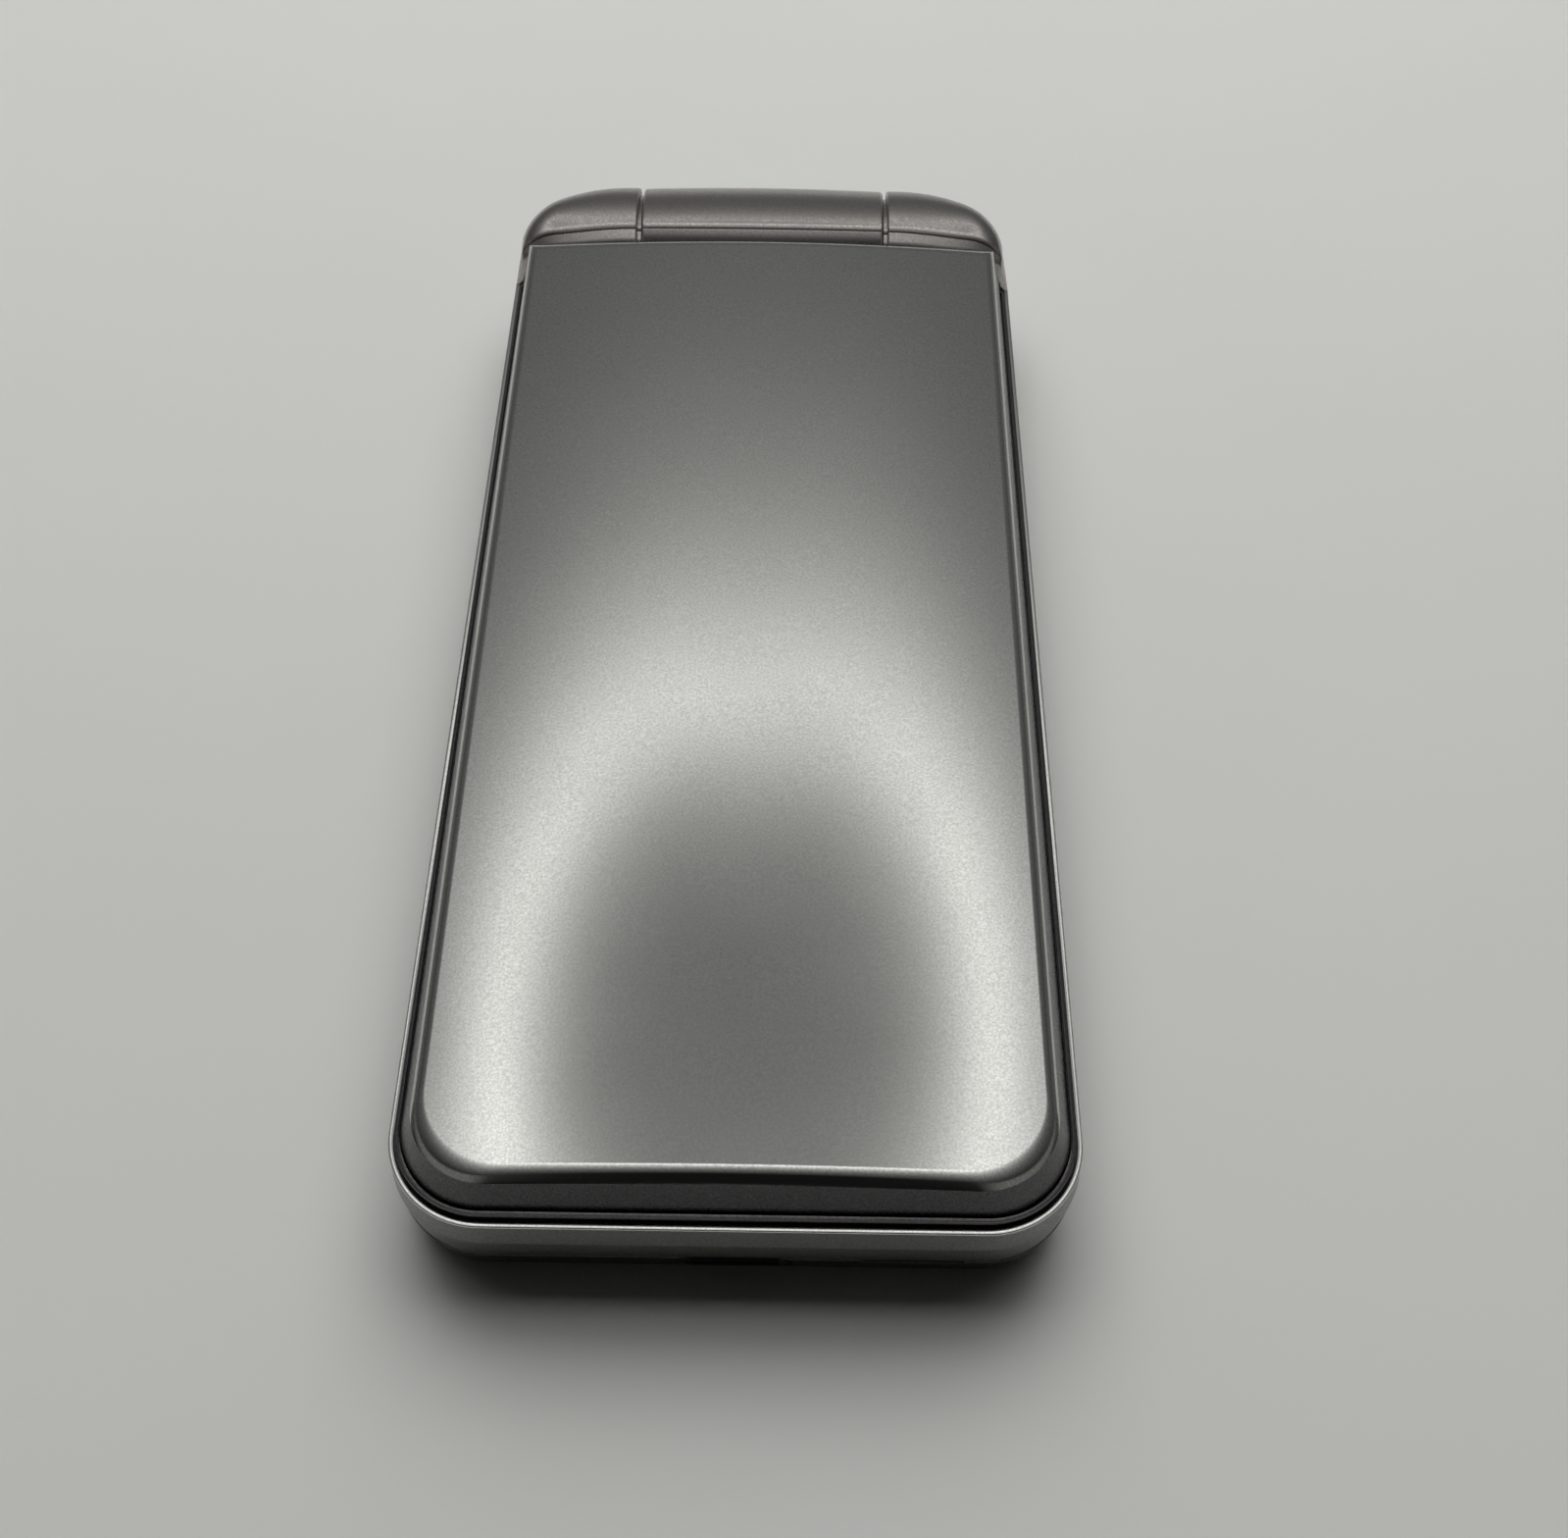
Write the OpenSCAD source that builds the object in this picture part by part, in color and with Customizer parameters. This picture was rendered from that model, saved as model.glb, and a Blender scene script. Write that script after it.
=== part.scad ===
// Clamshell feature phone, closed and lying on its back.
// X runs across the phone, Y from the opening end to the hinge end, Z up from the table.

/* [Base] */
// Width of the base
body_w = 51; // [50:0.5:56]
// Length of the closed phone, over the bulge of the hinge barrel
body_l = 115; // [114:0.5:122]
// Height of the rim of the base
rim_z = 9; // [8.9:0.1:9.6]
// Height of the parting line between the base and the rear cover
part_z = 3.9; // [3.7:0.1:4.1]
// Plan radius of the corners at the opening end
front_r = 7.5; // [6.5:0.5:9]
// Plan radius of the corners at the hinge end
rear_r = 11.5; // [10:0.5:12.5]
// Side wall of the base and of the rear cover
wall = 1.2; // [1:0.1:1.4]
// Chamfer on the rim
rim_chamfer = 0.5; // [0.3:0.1:0.7]
// Height at which the flank begins to curve in towards the table
flank_z = 6; // [5.5:0.1:7]
// Radius of the curved flank, in elevation
flank_r = 14; // [12:1:24]
// Radius of the edge round the bottom
foot_r = 1.5; // [1:0.1:1.8]
// Floor of the rear cover
floor_t = 1; // [0.8:0.05:1]
// Pry slot in the rear cover: width
pry_w = 7.5; // [5:0.5:9]
// Pry slot: height below the parting line
pry_h = 0.7; // [0.5:0.1:1]
// Pry slot: distance from the middle of the phone
pry_x = 13.1; // [11:0.1:14]

/* [Lid] */
// Gap between the closed lid and the rim
lid_gap = 0.3; // [0.25:0.05:0.5]
// Height of the lid at the hinge, from its flange to the top of its crown
lid_h = 7.1; // [6.9:0.1:7.8]
// Height of the lid at the opening end
lid_front_h = 4.8; // [4.7:0.1:6]
// Inset of the lid's flange from the side of the base
lid_inset = 0.7; // [0.5:0.1:1]
// Thickness of the lid's flange
flange_t = 0.6; // [0.5:0.05:0.8]
// Inset of the lid cover from the flange
cover_inset = 0.3; // [0.2:0.05:0.5]
// Wall of the lid cover
lid_wall = 1; // [0.8:0.1:1.1]
// Lean of the cover's side walls
side_draft = 0.9; // [0.7:0.05:1.3]
// Lean of the cover's wall at the opening end
front_draft = 0.1; // [0.1:0.1:0.4]
// Depth of the shoulder below the crown
shoulder_h = 2.4; // [2:0.1:2.8]
// Width of the rounded shoulder along the sides
shoulder_side = 1.3; // [0.9:0.1:1.5]
// Width of the rounded shoulder at the opening end
shoulder_front = 1.8; // [1.2:0.1:2.4]
// Width of the sloping edge that faces the hinge
rear_slope = 1.8; // [1.4:0.1:2]
// Radius of the crown across the lid
crown_r = 250; // [200:10:400]
// Border beside the display window
window_side = 0.45; // [0.4:0.05:2]
// Border at the earpiece end of the display window
window_front = 8; // [7.5:0.1:10]
// Border at the hinge end of the display window
window_rear = 5.7; // [5.4:0.1:8]
// Thickness of the display window
window_t = 0.8; // [0.6:0.05:0.9]
// Dark margin of the window beside the display module
display_side = 1; // [0.8:0.1:3]
// Dark margin of the window at the ends of the display module
display_end = 6; // [4:0.5:10]
// Thickness of the display module
display_t = 1.6; // [1.2:0.1:1.7]

/* [Hinge] */
// Height of the hinge axis
hinge_z = 9.7; // [9.6:0.05:9.9]
// Largest radius of the middle barrel
barrel_r = 6.2; // [6:0.05:6.3]
// Fall of the barrel's radius from its middle to its ends
barrel_crown = 0.45; // [0.3:0.05:0.6]
// Width of each outer segment of the hinge bar, with its seam
knuckle_w = 13.15; // [12:0.05:14]
// Seam between the barrel and each knuckle
seam = 0.4; // [0.3:0.05:0.6]
// Running gap round the barrel, and between the lid's edge and the hinge
hinge_gap = 0.3; // [0.25:0.05:0.4]
// Distance of the caps' front seam from the hinge axis
cap_front = 4.3; // [4:0.1:4.5]
// Height of the caps' lower seam above the hinge axis
cap_low = 0.6; // [0.5:0.1:1]
// Radius of the knuckle cores inside the caps
core_r = 4.2; // [3.6:0.1:4.2]
// Length of each knuckle core
core_l = 4.8; // [4.6:0.1:5]
// Lean of the caps' outer faces
cap_draft = 1.6; // [1:0.1:2]
// Radius of the caps' upper corners, in front view
cap_corner_r = 3; // [2:0.1:3.5]
// Radius of the hollow pivot sleeve
sleeve_r = 2.6; // [2.4:0.1:2.9]
// Wall of the pivot sleeve
sleeve_wall = 0.6; // [0.4:0.1:0.8]
// Radius of the click capsule
capsule_r = 2.9; // [2.6:0.1:3.2]
// Length of the click capsule
capsule_l = 10.5; // [9:0.1:10.5]
// Radius of the shaft that leaves the capsule
shaft_r = 1.3; // [1:0.1:1.6]
// Radial clearance of shafts and sleeves
run_clear = 0.05; // [0.03:0.01:0.08]

/* [Keypad] */
// Margin between the rim and the outer keys
pad_edge = 2.5; // [2:0.1:3.5]
// Space in front of the number keys
pad_front = 12.2; // [10:0.1:14]
// Space behind the direction ring
pad_rear = 8.4; // [8:0.1:10]
// Bar between number keys, across the phone
bar_x = 1.2; // [1.1:0.1:2]
// Bar between number keys, along the phone
bar_y = 1.6; // [1.2:0.1:2.6]
// Corner radius of a key
key_r = 1.2; // [0.6:0.1:1.6]
// Radius of the crown of a key
key_crown_r = 45; // [40:1:90]
// Length of the call, clear and end keys
call_l = 7.4; // [6:0.1:8]
// Space between the number keys and the call row
call_step = 3; // [1.8:0.1:4]
// Space between the call row and the direction ring
nav_step = 5.5; // [4:0.1:7]
// Radius of the direction ring
nav_r = 9.6; // [8.5:0.1:10]
// Radius of the centre key
ok_r = 4.4; // [3.8:0.1:4.8]
// Length of a soft key
soft_l = 8.2; // [7:0.1:8.4]
// Height of the key tops over the rim
key_rise = 0; // [-0.1:0.05:0.1]
// Gap between a key and its opening
key_gap = 0.2; // [0.15:0.05:0.25]
// Travel of every key
travel = 0.3; // [0.2:0.05:0.3]
// Length of the volume key in the side wall
volume_l = 17; // [14:0.5:20]
// Height of the volume key
volume_h = 2; // [1.6:0.1:2]
// Distance of the volume key's middle from the hinge wall
volume_inset = 28.2; // [20:0.1:34]

/* [Inside] */
// Thickness of the keypad plate
plate_t = 0.8; // [0.7:0.05:0.9]
// Depth of the keypad plate below the rim
plate_drop = 0.3; // [0.2:0.05:0.4]
// Thickness of the main board
board_t = 0.8; // [0.6:0.05:0.9]
// Thickness of the dome sheet
dome_t = 0.15; // [0.1:0.01:0.2]
// Space beside the battery
battery_side = 3.9; // [3:0.1:6]
// Length of the bay for the modules behind the battery
module_l = 23; // [20:0.5:28]
// Length of the bay for the socket and motor in front of the battery
socket_l = 24.7; // [22:0.1:30]
// Thickness of the battery
battery_t = 4.2; // [3.6:0.1:4.2]
// Width of the socket's mouth
usb_w = 8.34; // [8.34:0.01:8.4]
// Height of the socket's mouth
usb_h = 2.56; // [2.5:0.01:2.6]
// Depth of the socket
usb_l = 7.4; // [6.5:0.1:8]
// Radius of the camera window
camera_r = 4; // [3.5:0.1:4.5]
// Radius of a screw's shank
screw_r = 0.7; // [0.6:0.05:0.8]
// Clearance between seated pieces
seat = 0.05; // [0.03:0.01:0.08]
// Clearance between pieces that drop into pockets
pocket = 0.2; // [0.15:0.05:0.25]

/* [Hidden] */
$fn = 48;
KEY_NAMES = [
  "key_1", "key_2", "key_3", "key_4", "key_5", "key_6", "key_7", "key_8", "key_9",
  "key_star", "key_0", "key_hash", "key_call", "key_clear", "key_end",
  "soft_key_upper_left", "soft_key_upper_right", "soft_key_lower_left", "soft_key_lower_right"
];

// Colours
silver = "silver";
warm_grey = "#8a8886";
dark_grey = "#4a4a4c";
black = "#18181a";
steel = "#b8bcc0";
board_green = "#1f5a3c";

// Plan of the base: half width, opening end, hinge axis, hinge end
hx = body_w / 2;
y_front = -body_l / 2;
hinge_y = body_l / 2 - barrel_r;
knuckle_r = barrel_r - barrel_crown;
bar_trim = 0.05;
y_rear = hinge_y + knuckle_r - bar_trim;
over = 1;

// Heights of the stack, from the rim down
plate_z = rim_z - plate_drop;
deck_z = plate_z - plate_t;
key_top = rim_z + key_rise;
flange_z = deck_z - seat;
key_flange_t = 0.35;
tip_h = 0.1;
dome_spare = 0.02;
key_low = flange_z - key_flange_t - tip_h;
dome_z = key_low - travel - dome_spare;
board_z = dome_z - dome_t - board_t;
frame_top = board_z - seat;
frame_low = floor_t + 2 * seat;

// Inner walls of the base
rim_w = 2;
ledge_w = wall + rim_w;
ledge_t = 0.8;
hinge_wall = 0.6;
bay_rear = hinge_y - barrel_r - hinge_gap - hinge_wall;
pocket_r = barrel_r + hinge_gap;
sill_h = 1.2;
sill_z = hinge_z - knuckle_r + sill_h;
half_barrel = hx - knuckle_w;
knuckle_x = half_barrel + seam;
core_end = knuckle_x + core_l;
cap_y = hinge_y - cap_front;
cap_z = hinge_z + cap_low;

// The lid
lid_z = rim_z + lid_gap;
cover_z = lid_z + flange_t;
crown_z = lid_z + lid_h;
lid_rear = hinge_y - barrel_r - hinge_gap;
taper = (lid_h - lid_front_h) / (lid_rear - y_front);
cover_hx = hx - lid_inset - cover_inset;
cover_front = y_front + lid_inset + cover_inset;
cover_r = front_r - lid_inset - cover_inset;
tray_gap = 0.25;
tray_hx = cover_hx - side_draft - lid_wall - tray_gap;
tray_front = cover_front + front_draft + lid_wall + tray_gap;
tray_rear = lid_rear - lid_wall - tray_gap;
tray_r = 4.5;
tray_h = 1.9;
tray_top = lid_z + tray_h;
bridge_h = 3.4;
bridge_top = hinge_z + bridge_h;
window_sink = 0.15;
window_low = lid_z + window_sink;
window_high = window_low + window_t;
window_w = 2 * (tray_hx - window_side);
window_l = tray_rear - window_rear - tray_front - window_front;
window_y = (tray_rear - window_rear + tray_front + window_front) / 2;
display_w = window_w - 2 * display_side;
display_l = window_l - 2 * display_end;
display_gap = 0.4;
display_low = window_high + display_gap;

// Screws: places in the base and in the lid
screw_side = 5.4;
screw_front = 7;
screw_rear = 3.6;
base_screw_x = hx - screw_side;
base_screw_front = y_front + screw_front;
base_screw_rear = bay_rear - screw_rear;
lid_screw_in = 2.6;
lid_screw_x = tray_hx - lid_screw_in;
lid_screw_front = tray_front + lid_screw_in;
lid_screw_rear = tray_rear - lid_screw_in;
head_r = 2 * screw_r + 2 * seat;
head_t = 0.8;
plug_t = 0.7;
base_head_z = frame_low + head_t;
lid_head_z = lid_z + plug_t;
boss_r = screw_r + wall;
boss_cap = 0.3;
lid_bore = 1.3;
tip_gap = 0.4;

// Insets of the flank at a height, and of the rounded foot below it
function flank(z) = z >= flank_z ? 0 : pow(flank_z - z, 2) / (2 * flank_r);
foot_steps = 6;
case_steps = 4;

// Edge of the base between the parting line and the rim, as inset and height
case_edge = concat(
  [for (i = [0:case_steps]) let (z = part_z + (flank_z - part_z) * i / case_steps) [-flank(z), z]],
  [[0, rim_z - rim_chamfer], [-rim_chamfer, rim_z]]
);

// Edge of the rear cover from the table to the parting line
cover_edge = concat(
  [for (i = [0:foot_steps]) let (a = 90 * i / foot_steps)
    [-flank(foot_r) - foot_r * (1 - sin(a)), foot_r * (1 - cos(a))]],
  [for (i = [1:case_steps]) let (z = foot_r + (part_z - foot_r) * i / case_steps) [-flank(z), z]]
);

// Rounded rectangle with one radius at each end
module rounded(half, front, rear, rf, rr) {
  translate([-half, front + rf])
    square([2 * half, rear - rr - front - rf]);
  translate([rf - half, front])
    square([2 * (half - rf), rf]);
  translate([rr - half, rear - rr])
    square([2 * (half - rr), rr]);
  for (side = [-1, 1]) {
    translate([side * (half - rf), front + rf])
      circle(rf);
    translate([side * (half - rr), rear - rr])
      circle(rr);
  }
}

// Plan of the base, drawn in by a distance
module plan(inset) {
  rounded(hx - inset, y_front + inset, y_rear - inset, front_r - inset, rear_r - inset);
}

// Plan of the inside of the base, which stops in front of the hinge
module bay(inset) {
  rounded(hx - inset, y_front + inset, bay_rear, front_r - inset, 1);
}

// A slab of a plan between two heights
module slab(low, high) {
  translate([0, 0, low])
    linear_extrude(high - low)
      children();
}

// A box from its lowest corner to its highest one
module box(low, high) {
  translate(low)
    cube(high - low);
}

// A round rod across the phone, on the hinge axis
module axle(r, from_x, to_x) {
  translate([from_x, hinge_y, hinge_z])
    rotate([0, 90, 0])
      cylinder(r = r, h = to_x - from_x);
}

// A profile, drawn as width across X and height along Z, carried along Y
module along_y(length) {
  rotate([90, 0, 0])
    linear_extrude(length, center = true)
      children();
}

// Half section of an edge: out from a corner's centre to the edge's own line
function half_section(depth, edge) = concat(
  [[0, edge[0][1]]],
  [for (p = edge) [depth + p[0], p[1]]],
  [[0, edge[len(edge) - 1][1]]]
);

// The edge carried round the plan of the base: four corners, four sides and the middle
module swept(edge) {
  side_l = y_rear - rear_r - y_front - front_r;
  side_y = (y_rear - rear_r + y_front + front_r) / 2;
  low = edge[0][1];
  high = edge[len(edge) - 1][1];
  box([front_r - hx, y_front + front_r, low], [hx - front_r, y_rear - rear_r, high]);
  for (side = [0, 1])
    mirror([side, 0, 0]) {
      translate([hx - front_r, side_y, 0])
        along_y(side_l)
          polygon(half_section(front_r, edge));
      translate([hx - front_r, y_front + front_r, 0])
        rotate(-90)
          rotate_extrude(angle = 90)
            polygon(half_section(front_r, edge));
      translate([hx - rear_r, y_rear - rear_r, 0])
        rotate_extrude(angle = 90)
          polygon(half_section(rear_r, edge));
    }
  translate([0, y_front + front_r, 0])
    rotate(-90)
      along_y(2 * (hx - front_r))
        polygon(half_section(front_r, edge));
  translate([0, y_rear - rear_r, 0])
    rotate(90)
      along_y(2 * (hx - rear_r))
        polygon(half_section(rear_r, edge));
}

// A round-ended slot seen along Y, centred on its own origin
module slot_2d(w, h) {
  square([w - h, h], center = true);
  for (side = [-1, 1])
    translate([side * (w - h) / 2, 0])
      circle(h / 2);
}

// Front view of the hinge bar: leaning sides and round upper corners
bar_inset = 0.3;
bar_foot = hx - bar_inset;
bar_head = bar_foot - cap_draft;
bar_top = hinge_z + knuckle_r;
corner_steps = 5;
corner_from = 10;
corner_turn = 65;
function bar_side(side) = concat(
  [[side * bar_foot, part_z + pocket], [side * bar_foot, rim_z]],
  [for (i = [0:corner_steps]) let (a = corner_from + corner_turn * i / corner_steps)
    [side * (bar_head - cap_corner_r * (1 - cos(a))), bar_top - cap_corner_r * (1 - sin(a))]],
  [[side * (bar_head - cap_corner_r - over), bar_top + over / 2]]
);
function reversed(list) = [for (i = [len(list) - 1:-1:0]) list[i]];

// The two outer segments of the hinge bar, before they are split into knuckle and cap
module bar_segment(side) {
  intersection() {
    axle(knuckle_r, side > 0 ? knuckle_x : -hx, side > 0 ? hx : -knuckle_x);
    slab(part_z + pocket / 2, bar_top + over)
      plan(0);
    translate([0, hinge_y, 0])
      along_y(4 * knuckle_r)
        polygon(concat(bar_side(-1), reversed(bar_side(1))));
  }
}

// The space that a cap fills, behind its front seam and above its lower seam
module cap_space(gap) {
  box([-hx - over, cap_y + gap, cap_z + gap], [hx + over, y_rear + over, bar_top + over]);
}

// The crowned barrel as a turned profile about the hinge axis
barrel_steps = 8;
function barrel_at(x) = barrel_r - barrel_crown * pow(x / half_barrel, 2);
module barrel_solid() {
  translate([0, hinge_y, hinge_z])
    rotate([0, 90, 0])
      rotate_extrude()
        polygon(concat(
          [[0, -half_barrel]],
          [for (i = [0:barrel_steps]) let (x = half_barrel * (2 * i / barrel_steps - 1))
            [barrel_at(x), x]],
          [[0, half_barrel]]
        ));
}

// The part of the barrel that the lid's frame makes: its upper front strip
module strip_space(gap) {
  box([-hx, hinge_y - barrel_r - over, lid_z + gap], [hx, cap_y - gap, hinge_z + barrel_r]);
}

// Places of the keys: the ring from the hinge end, the call row before it, the number keys between
pad_hx = hx - rim_w - pad_edge;
nav_y = bay_rear - pad_rear - nav_r;
call_y = nav_y - nav_r - nav_step - call_l / 2;
rows_front = y_front + rim_w + pad_front;
rows_rear = call_y - call_l / 2 - call_step;
pitch_x = (2 * pad_hx + bar_x) / 3;
pitch_y = (rows_rear - rows_front + bar_y) / 4;
key_w = pitch_x - bar_x;
key_l = pitch_y - bar_y;
key_bridge = 0.9;
soft_in = nav_r + key_gap + key_bridge;
soft_w = pad_hx - soft_in;
soft_x = soft_in + soft_w / 2;
soft_pitch = soft_l + 2 * key_bridge - key_gap;

// Keys: width, length and place of each, in the order of KEY_NAMES
function key_size(i) = i < 12 ? [key_w, key_l] : i < 15 ? [key_w, call_l] : [soft_w, soft_l];
function key_place(i) =
  i < 12 ? [(i % 3 - 1) * pitch_x, rows_rear - key_l / 2 - floor(i / 3) * pitch_y] :
  i < 15 ? [(i - 13) * pitch_x, call_y] :
  [((i - 15) % 2 * 2 - 1) * soft_x, nav_y + (0.5 - floor((i - 15) / 2)) * soft_pitch];
function key_tint(i) = i < 12 ? "#c9ccd0" : "#b4b7bb";

// Outline of a key, let out by a gap
module key_outline(size, gap) {
  w = size[0] / 2 + gap;
  l = size[1] / 2 + gap;
  rounded(w, -l, l, key_r + gap, key_r + gap);
}
key_lip = 0.5;
tip_r = 1;

// A key: crowned top, a lip under the plate and a tip over its dome
module key(i) {
  size = key_size(i);
  color(key_tint(i))
    translate([key_place(i)[0], key_place(i)[1], 0]) {
      intersection() {
        slab(flange_z - key_flange_t, key_top + over)
          key_outline(size, 0);
        translate([0, 0, key_top - key_crown_r])
          rotate([0, 90, 0])
            cylinder(r = key_crown_r, h = size[0] + 2 * over, center = true, $fn = 360);
      }
      slab(flange_z - key_flange_t, flange_z)
        square([size[0] + 2 * key_lip, size[1] + 2 * key_lip], center = true);
      translate([0, 0, key_low])
        cylinder(r = tip_r, h = key_flange_t);
    }
}

// Loft of the lid cover: levels of a rounded outline that lean in, then roll over the shoulder
arc_steps = 8;
columns = 8;
shoulder_steps = 6;
last_level = shoulder_steps + 1;
last_row = arc_steps + 1;

// Turn of the shoulder at a level, in degrees: none on the wall, a right angle at the crown
function turn(level) = level < 2 ? 0 : 90 * (level - 1) / shoulder_steps;
function lean(level) = level < 1 ? 0 : 1;
function level_hx(level, d) =
  cover_hx - d - side_draft * lean(level) - shoulder_side * (1 - cos(turn(level)));
function level_front(level, d) =
  cover_front + d + front_draft * lean(level) + shoulder_front * (1 - cos(turn(level)));
function level_rear(level, d) = lid_rear - d - rear_slope * (1 - cos(turn(level)));
function level_r(level, d) = cover_r - 0.6 * d - 0.5 * side_draft * lean(level);
function crown(x, y, d) = crown_z - d - taper * (lid_rear - y) - x * x / (2 * crown_r);
function shoulder(y, d) = crown(0, y, d) - shoulder_h;
function level_z(level, x, y, d) =
  level < 1 ? cover_z :
  shoulder(y, d) + (crown(x, y, d) - shoulder(y, d)) * sin(turn(level));

// Half width and place of a row of the cover: the hinge edge, then the round corner to the front
function row_turn(row) = 90 * (row - 1) / arc_steps;
function row_hx(level, row, d) =
  row < 1 ? level_hx(level, d) : level_hx(level, d) - level_r(level, d) * (1 - cos(row_turn(row)));
function row_y(level, row, d) =
  row < 1 ? level_rear(level, d) : level_front(level, d) + level_r(level, d) * (1 - sin(row_turn(row)));
function loft_point(level, row, column, d) =
  let (x = row_hx(level, row, d) * (2 * column / columns - 1), y = row_y(level, row, d))
  [x, y, level_z(level, x, y, d)];

// Rows and columns met on the way round one level
rim_path = concat(
  [for (k = [0:columns]) [0, k]],
  [for (j = [1:last_row]) [j, columns]],
  [for (k = [columns - 1:-1:0]) [last_row, k]],
  [for (j = [last_row - 1:-1:1]) [j, 0]]
);
rim_n = len(rim_path);

// Points of one skin: its rings, then the grid of its crown
function skin_points(d) = concat(
  [for (level = [0:last_level - 1], p = rim_path) loft_point(level, p[0], p[1], d)],
  [for (j = [0:last_row], k = [0:columns]) loft_point(last_level, j, k, d)]
);
skin_n = last_level * rim_n + (last_row + 1) * (columns + 1);
function grid_at(j, k) = last_level * rim_n + j * (columns + 1) + k;
function ring_at(level, i) =
  let (n = i % rim_n)
  level < last_level ? level * rim_n + n : grid_at(rim_path[n][0], rim_path[n][1]);
function two_triangles(a, b, c, e) = [[a, b, c], [a, c, e]];
skin_faces = concat(
  [for (level = [0:last_level - 1], i = [0:rim_n - 1]) each two_triangles(
    ring_at(level, i), ring_at(level + 1, i), ring_at(level + 1, i + 1), ring_at(level, i + 1))],
  [for (j = [0:last_row - 1], k = [0:columns - 1]) each two_triangles(
    grid_at(j, k), grid_at(j, k + 1), grid_at(j + 1, k + 1), grid_at(j + 1, k))]
);
cover_faces = concat(
  skin_faces,
  [for (f = skin_faces) [for (p = reversed(f)) p + skin_n]],
  [for (i = [0:rim_n - 1]) each two_triangles(
    i, skin_n + i, skin_n + (i + 1) % rim_n, (i + 1) % rim_n)]
);

// Domed lid cover: a thin moulded shell with a gap for the hinge bridge and four screw bosses
module lid_cover() {
  color(silver) {
    difference() {
      polyhedron(concat(skin_points(0), skin_points(lid_wall)), cover_faces);
      box([-half_barrel - seat, tray_rear - over, cover_z - over],
        [half_barrel + seat, lid_rear + over, bridge_top + seat]);
    }
    for (side = [-1, 1], y = [lid_screw_front, lid_screw_rear])
      translate([side * lid_screw_x, y, tray_top + seat])
        difference() {
          cylinder(r = boss_r, h = crown(lid_screw_x, y, lid_wall / 2) - tray_top - seat);
          translate([0, 0, -over])
            cylinder(r = screw_r + run_clear, h = lid_bore + over);
        }
  }
}

// Inner lid frame: flange, tray for the display, and the bridge to the hinge barrel
earpiece_y = (window_y - window_l / 2 + tray_front) / 2;
earpiece_w = 10;
earpiece_l = 4;
earpiece_t = 2.4;
ear_slot_w = 7;
ear_slot_h = 1.2;
magnet_w = 5;
magnet_l = 3;
magnet_t = 1.6;
magnet_gap = 1.6;
magnet_x = lid_screw_x - head_r - magnet_gap - magnet_w / 2;
magnet_z = cover_z + flange_t;
flange_rear_r = 0.8;
display_edge = 1.5;
module lid_frame() {
  color(dark_grey)
    difference() {
      union() {
        slab(lid_z, cover_z)
          rounded(hx - lid_inset, y_front + lid_inset, lid_rear, front_r - lid_inset, flange_rear_r);
        slab(lid_z, tray_top)
          rounded(tray_hx, tray_front, tray_rear, tray_r, tray_r);
        box([-half_barrel, tray_rear - tray_r, lid_z], [half_barrel, cap_y - seat, bridge_top]);
        intersection() {
          barrel_solid();
          strip_space(0);
        }
      }
      difference() {
        box([-hx, lid_rear + seat, 0], [hx, y_rear, crown_z + over]);
        barrel_solid();
        box([-half_barrel, lid_rear, lid_z], [half_barrel, hinge_y - knuckle_r, bridge_top]);
      }
      slab(lid_z - over, window_high + seat)
        translate([0, window_y])
          square([window_w + 2 * pocket, window_l + 2 * pocket], center = true);
      slab(lid_z, display_low)
        translate([0, window_y])
          square([display_w - 2 * display_edge, display_l - 2 * display_edge], center = true);
      slab(display_low - seat, tray_top + over)
        translate([0, window_y])
          square([display_w + 2 * pocket, display_l + 2 * pocket], center = true);
      slab(cover_z, tray_top + over)
        translate([0, earpiece_y])
          square([earpiece_w + 2 * pocket, earpiece_l + 2 * pocket], center = true);
      slab(lid_z - over, cover_z + over)
        translate([0, earpiece_y])
          slot_2d(ear_slot_w, ear_slot_h);
      slab(magnet_z, tray_top + over)
        translate([magnet_x, earpiece_y])
          square([magnet_w + 2 * pocket, magnet_l + 2 * pocket], center = true);
      for (side = [-1, 1], y = [lid_screw_front, lid_screw_rear])
        translate([side * lid_screw_x, y, lid_z - over]) {
          cylinder(r = screw_r + pocket, h = tray_top);
          cylinder(r = head_r + pocket, h = lid_head_z + head_t - lid_z + over);
        }
    }
}

// Middle hinge barrel, which turns with the lid
capsule_from = half_barrel - capsule_l;
capsule_web = 1.5;
sleeve_in = 4.2;
sleeve_gap = 1;
module hinge_barrel() {
  color(warm_grey)
    difference() {
      barrel_solid();
      strip_space(-seat);
      axle(sleeve_r + run_clear, -half_barrel - over, sleeve_in - half_barrel + sleeve_gap);
      axle(capsule_r + seat, capsule_from - seat, half_barrel + over);
      axle(sleeve_r - sleeve_wall, sleeve_in - half_barrel, capsule_from - capsule_web);
    }
}

// Click capsule: the sprung cam that snaps the lid open and shut
shaft_in = 4.8;
module hinge_capsule() {
  color(steel)
    difference() {
      axle(capsule_r, capsule_from, half_barrel - seat);
      axle(shaft_r + run_clear, half_barrel - shaft_in - pocket, half_barrel + over);
    }
}

// Shaft of the click capsule, with a flat-sided head held by the right knuckle
head_l = 4;
head_flat = 0.3;
head_half = shaft_r + head_flat;
module hinge_shaft() {
  color(steel) {
    axle(shaft_r, half_barrel - shaft_in, knuckle_x + head_l / 2);
    translate([knuckle_x + head_l / 2, hinge_y, hinge_z])
      cube([head_l - 2 * seat, 2 * head_half, 2 * head_half], center = true);
  }
}

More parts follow.
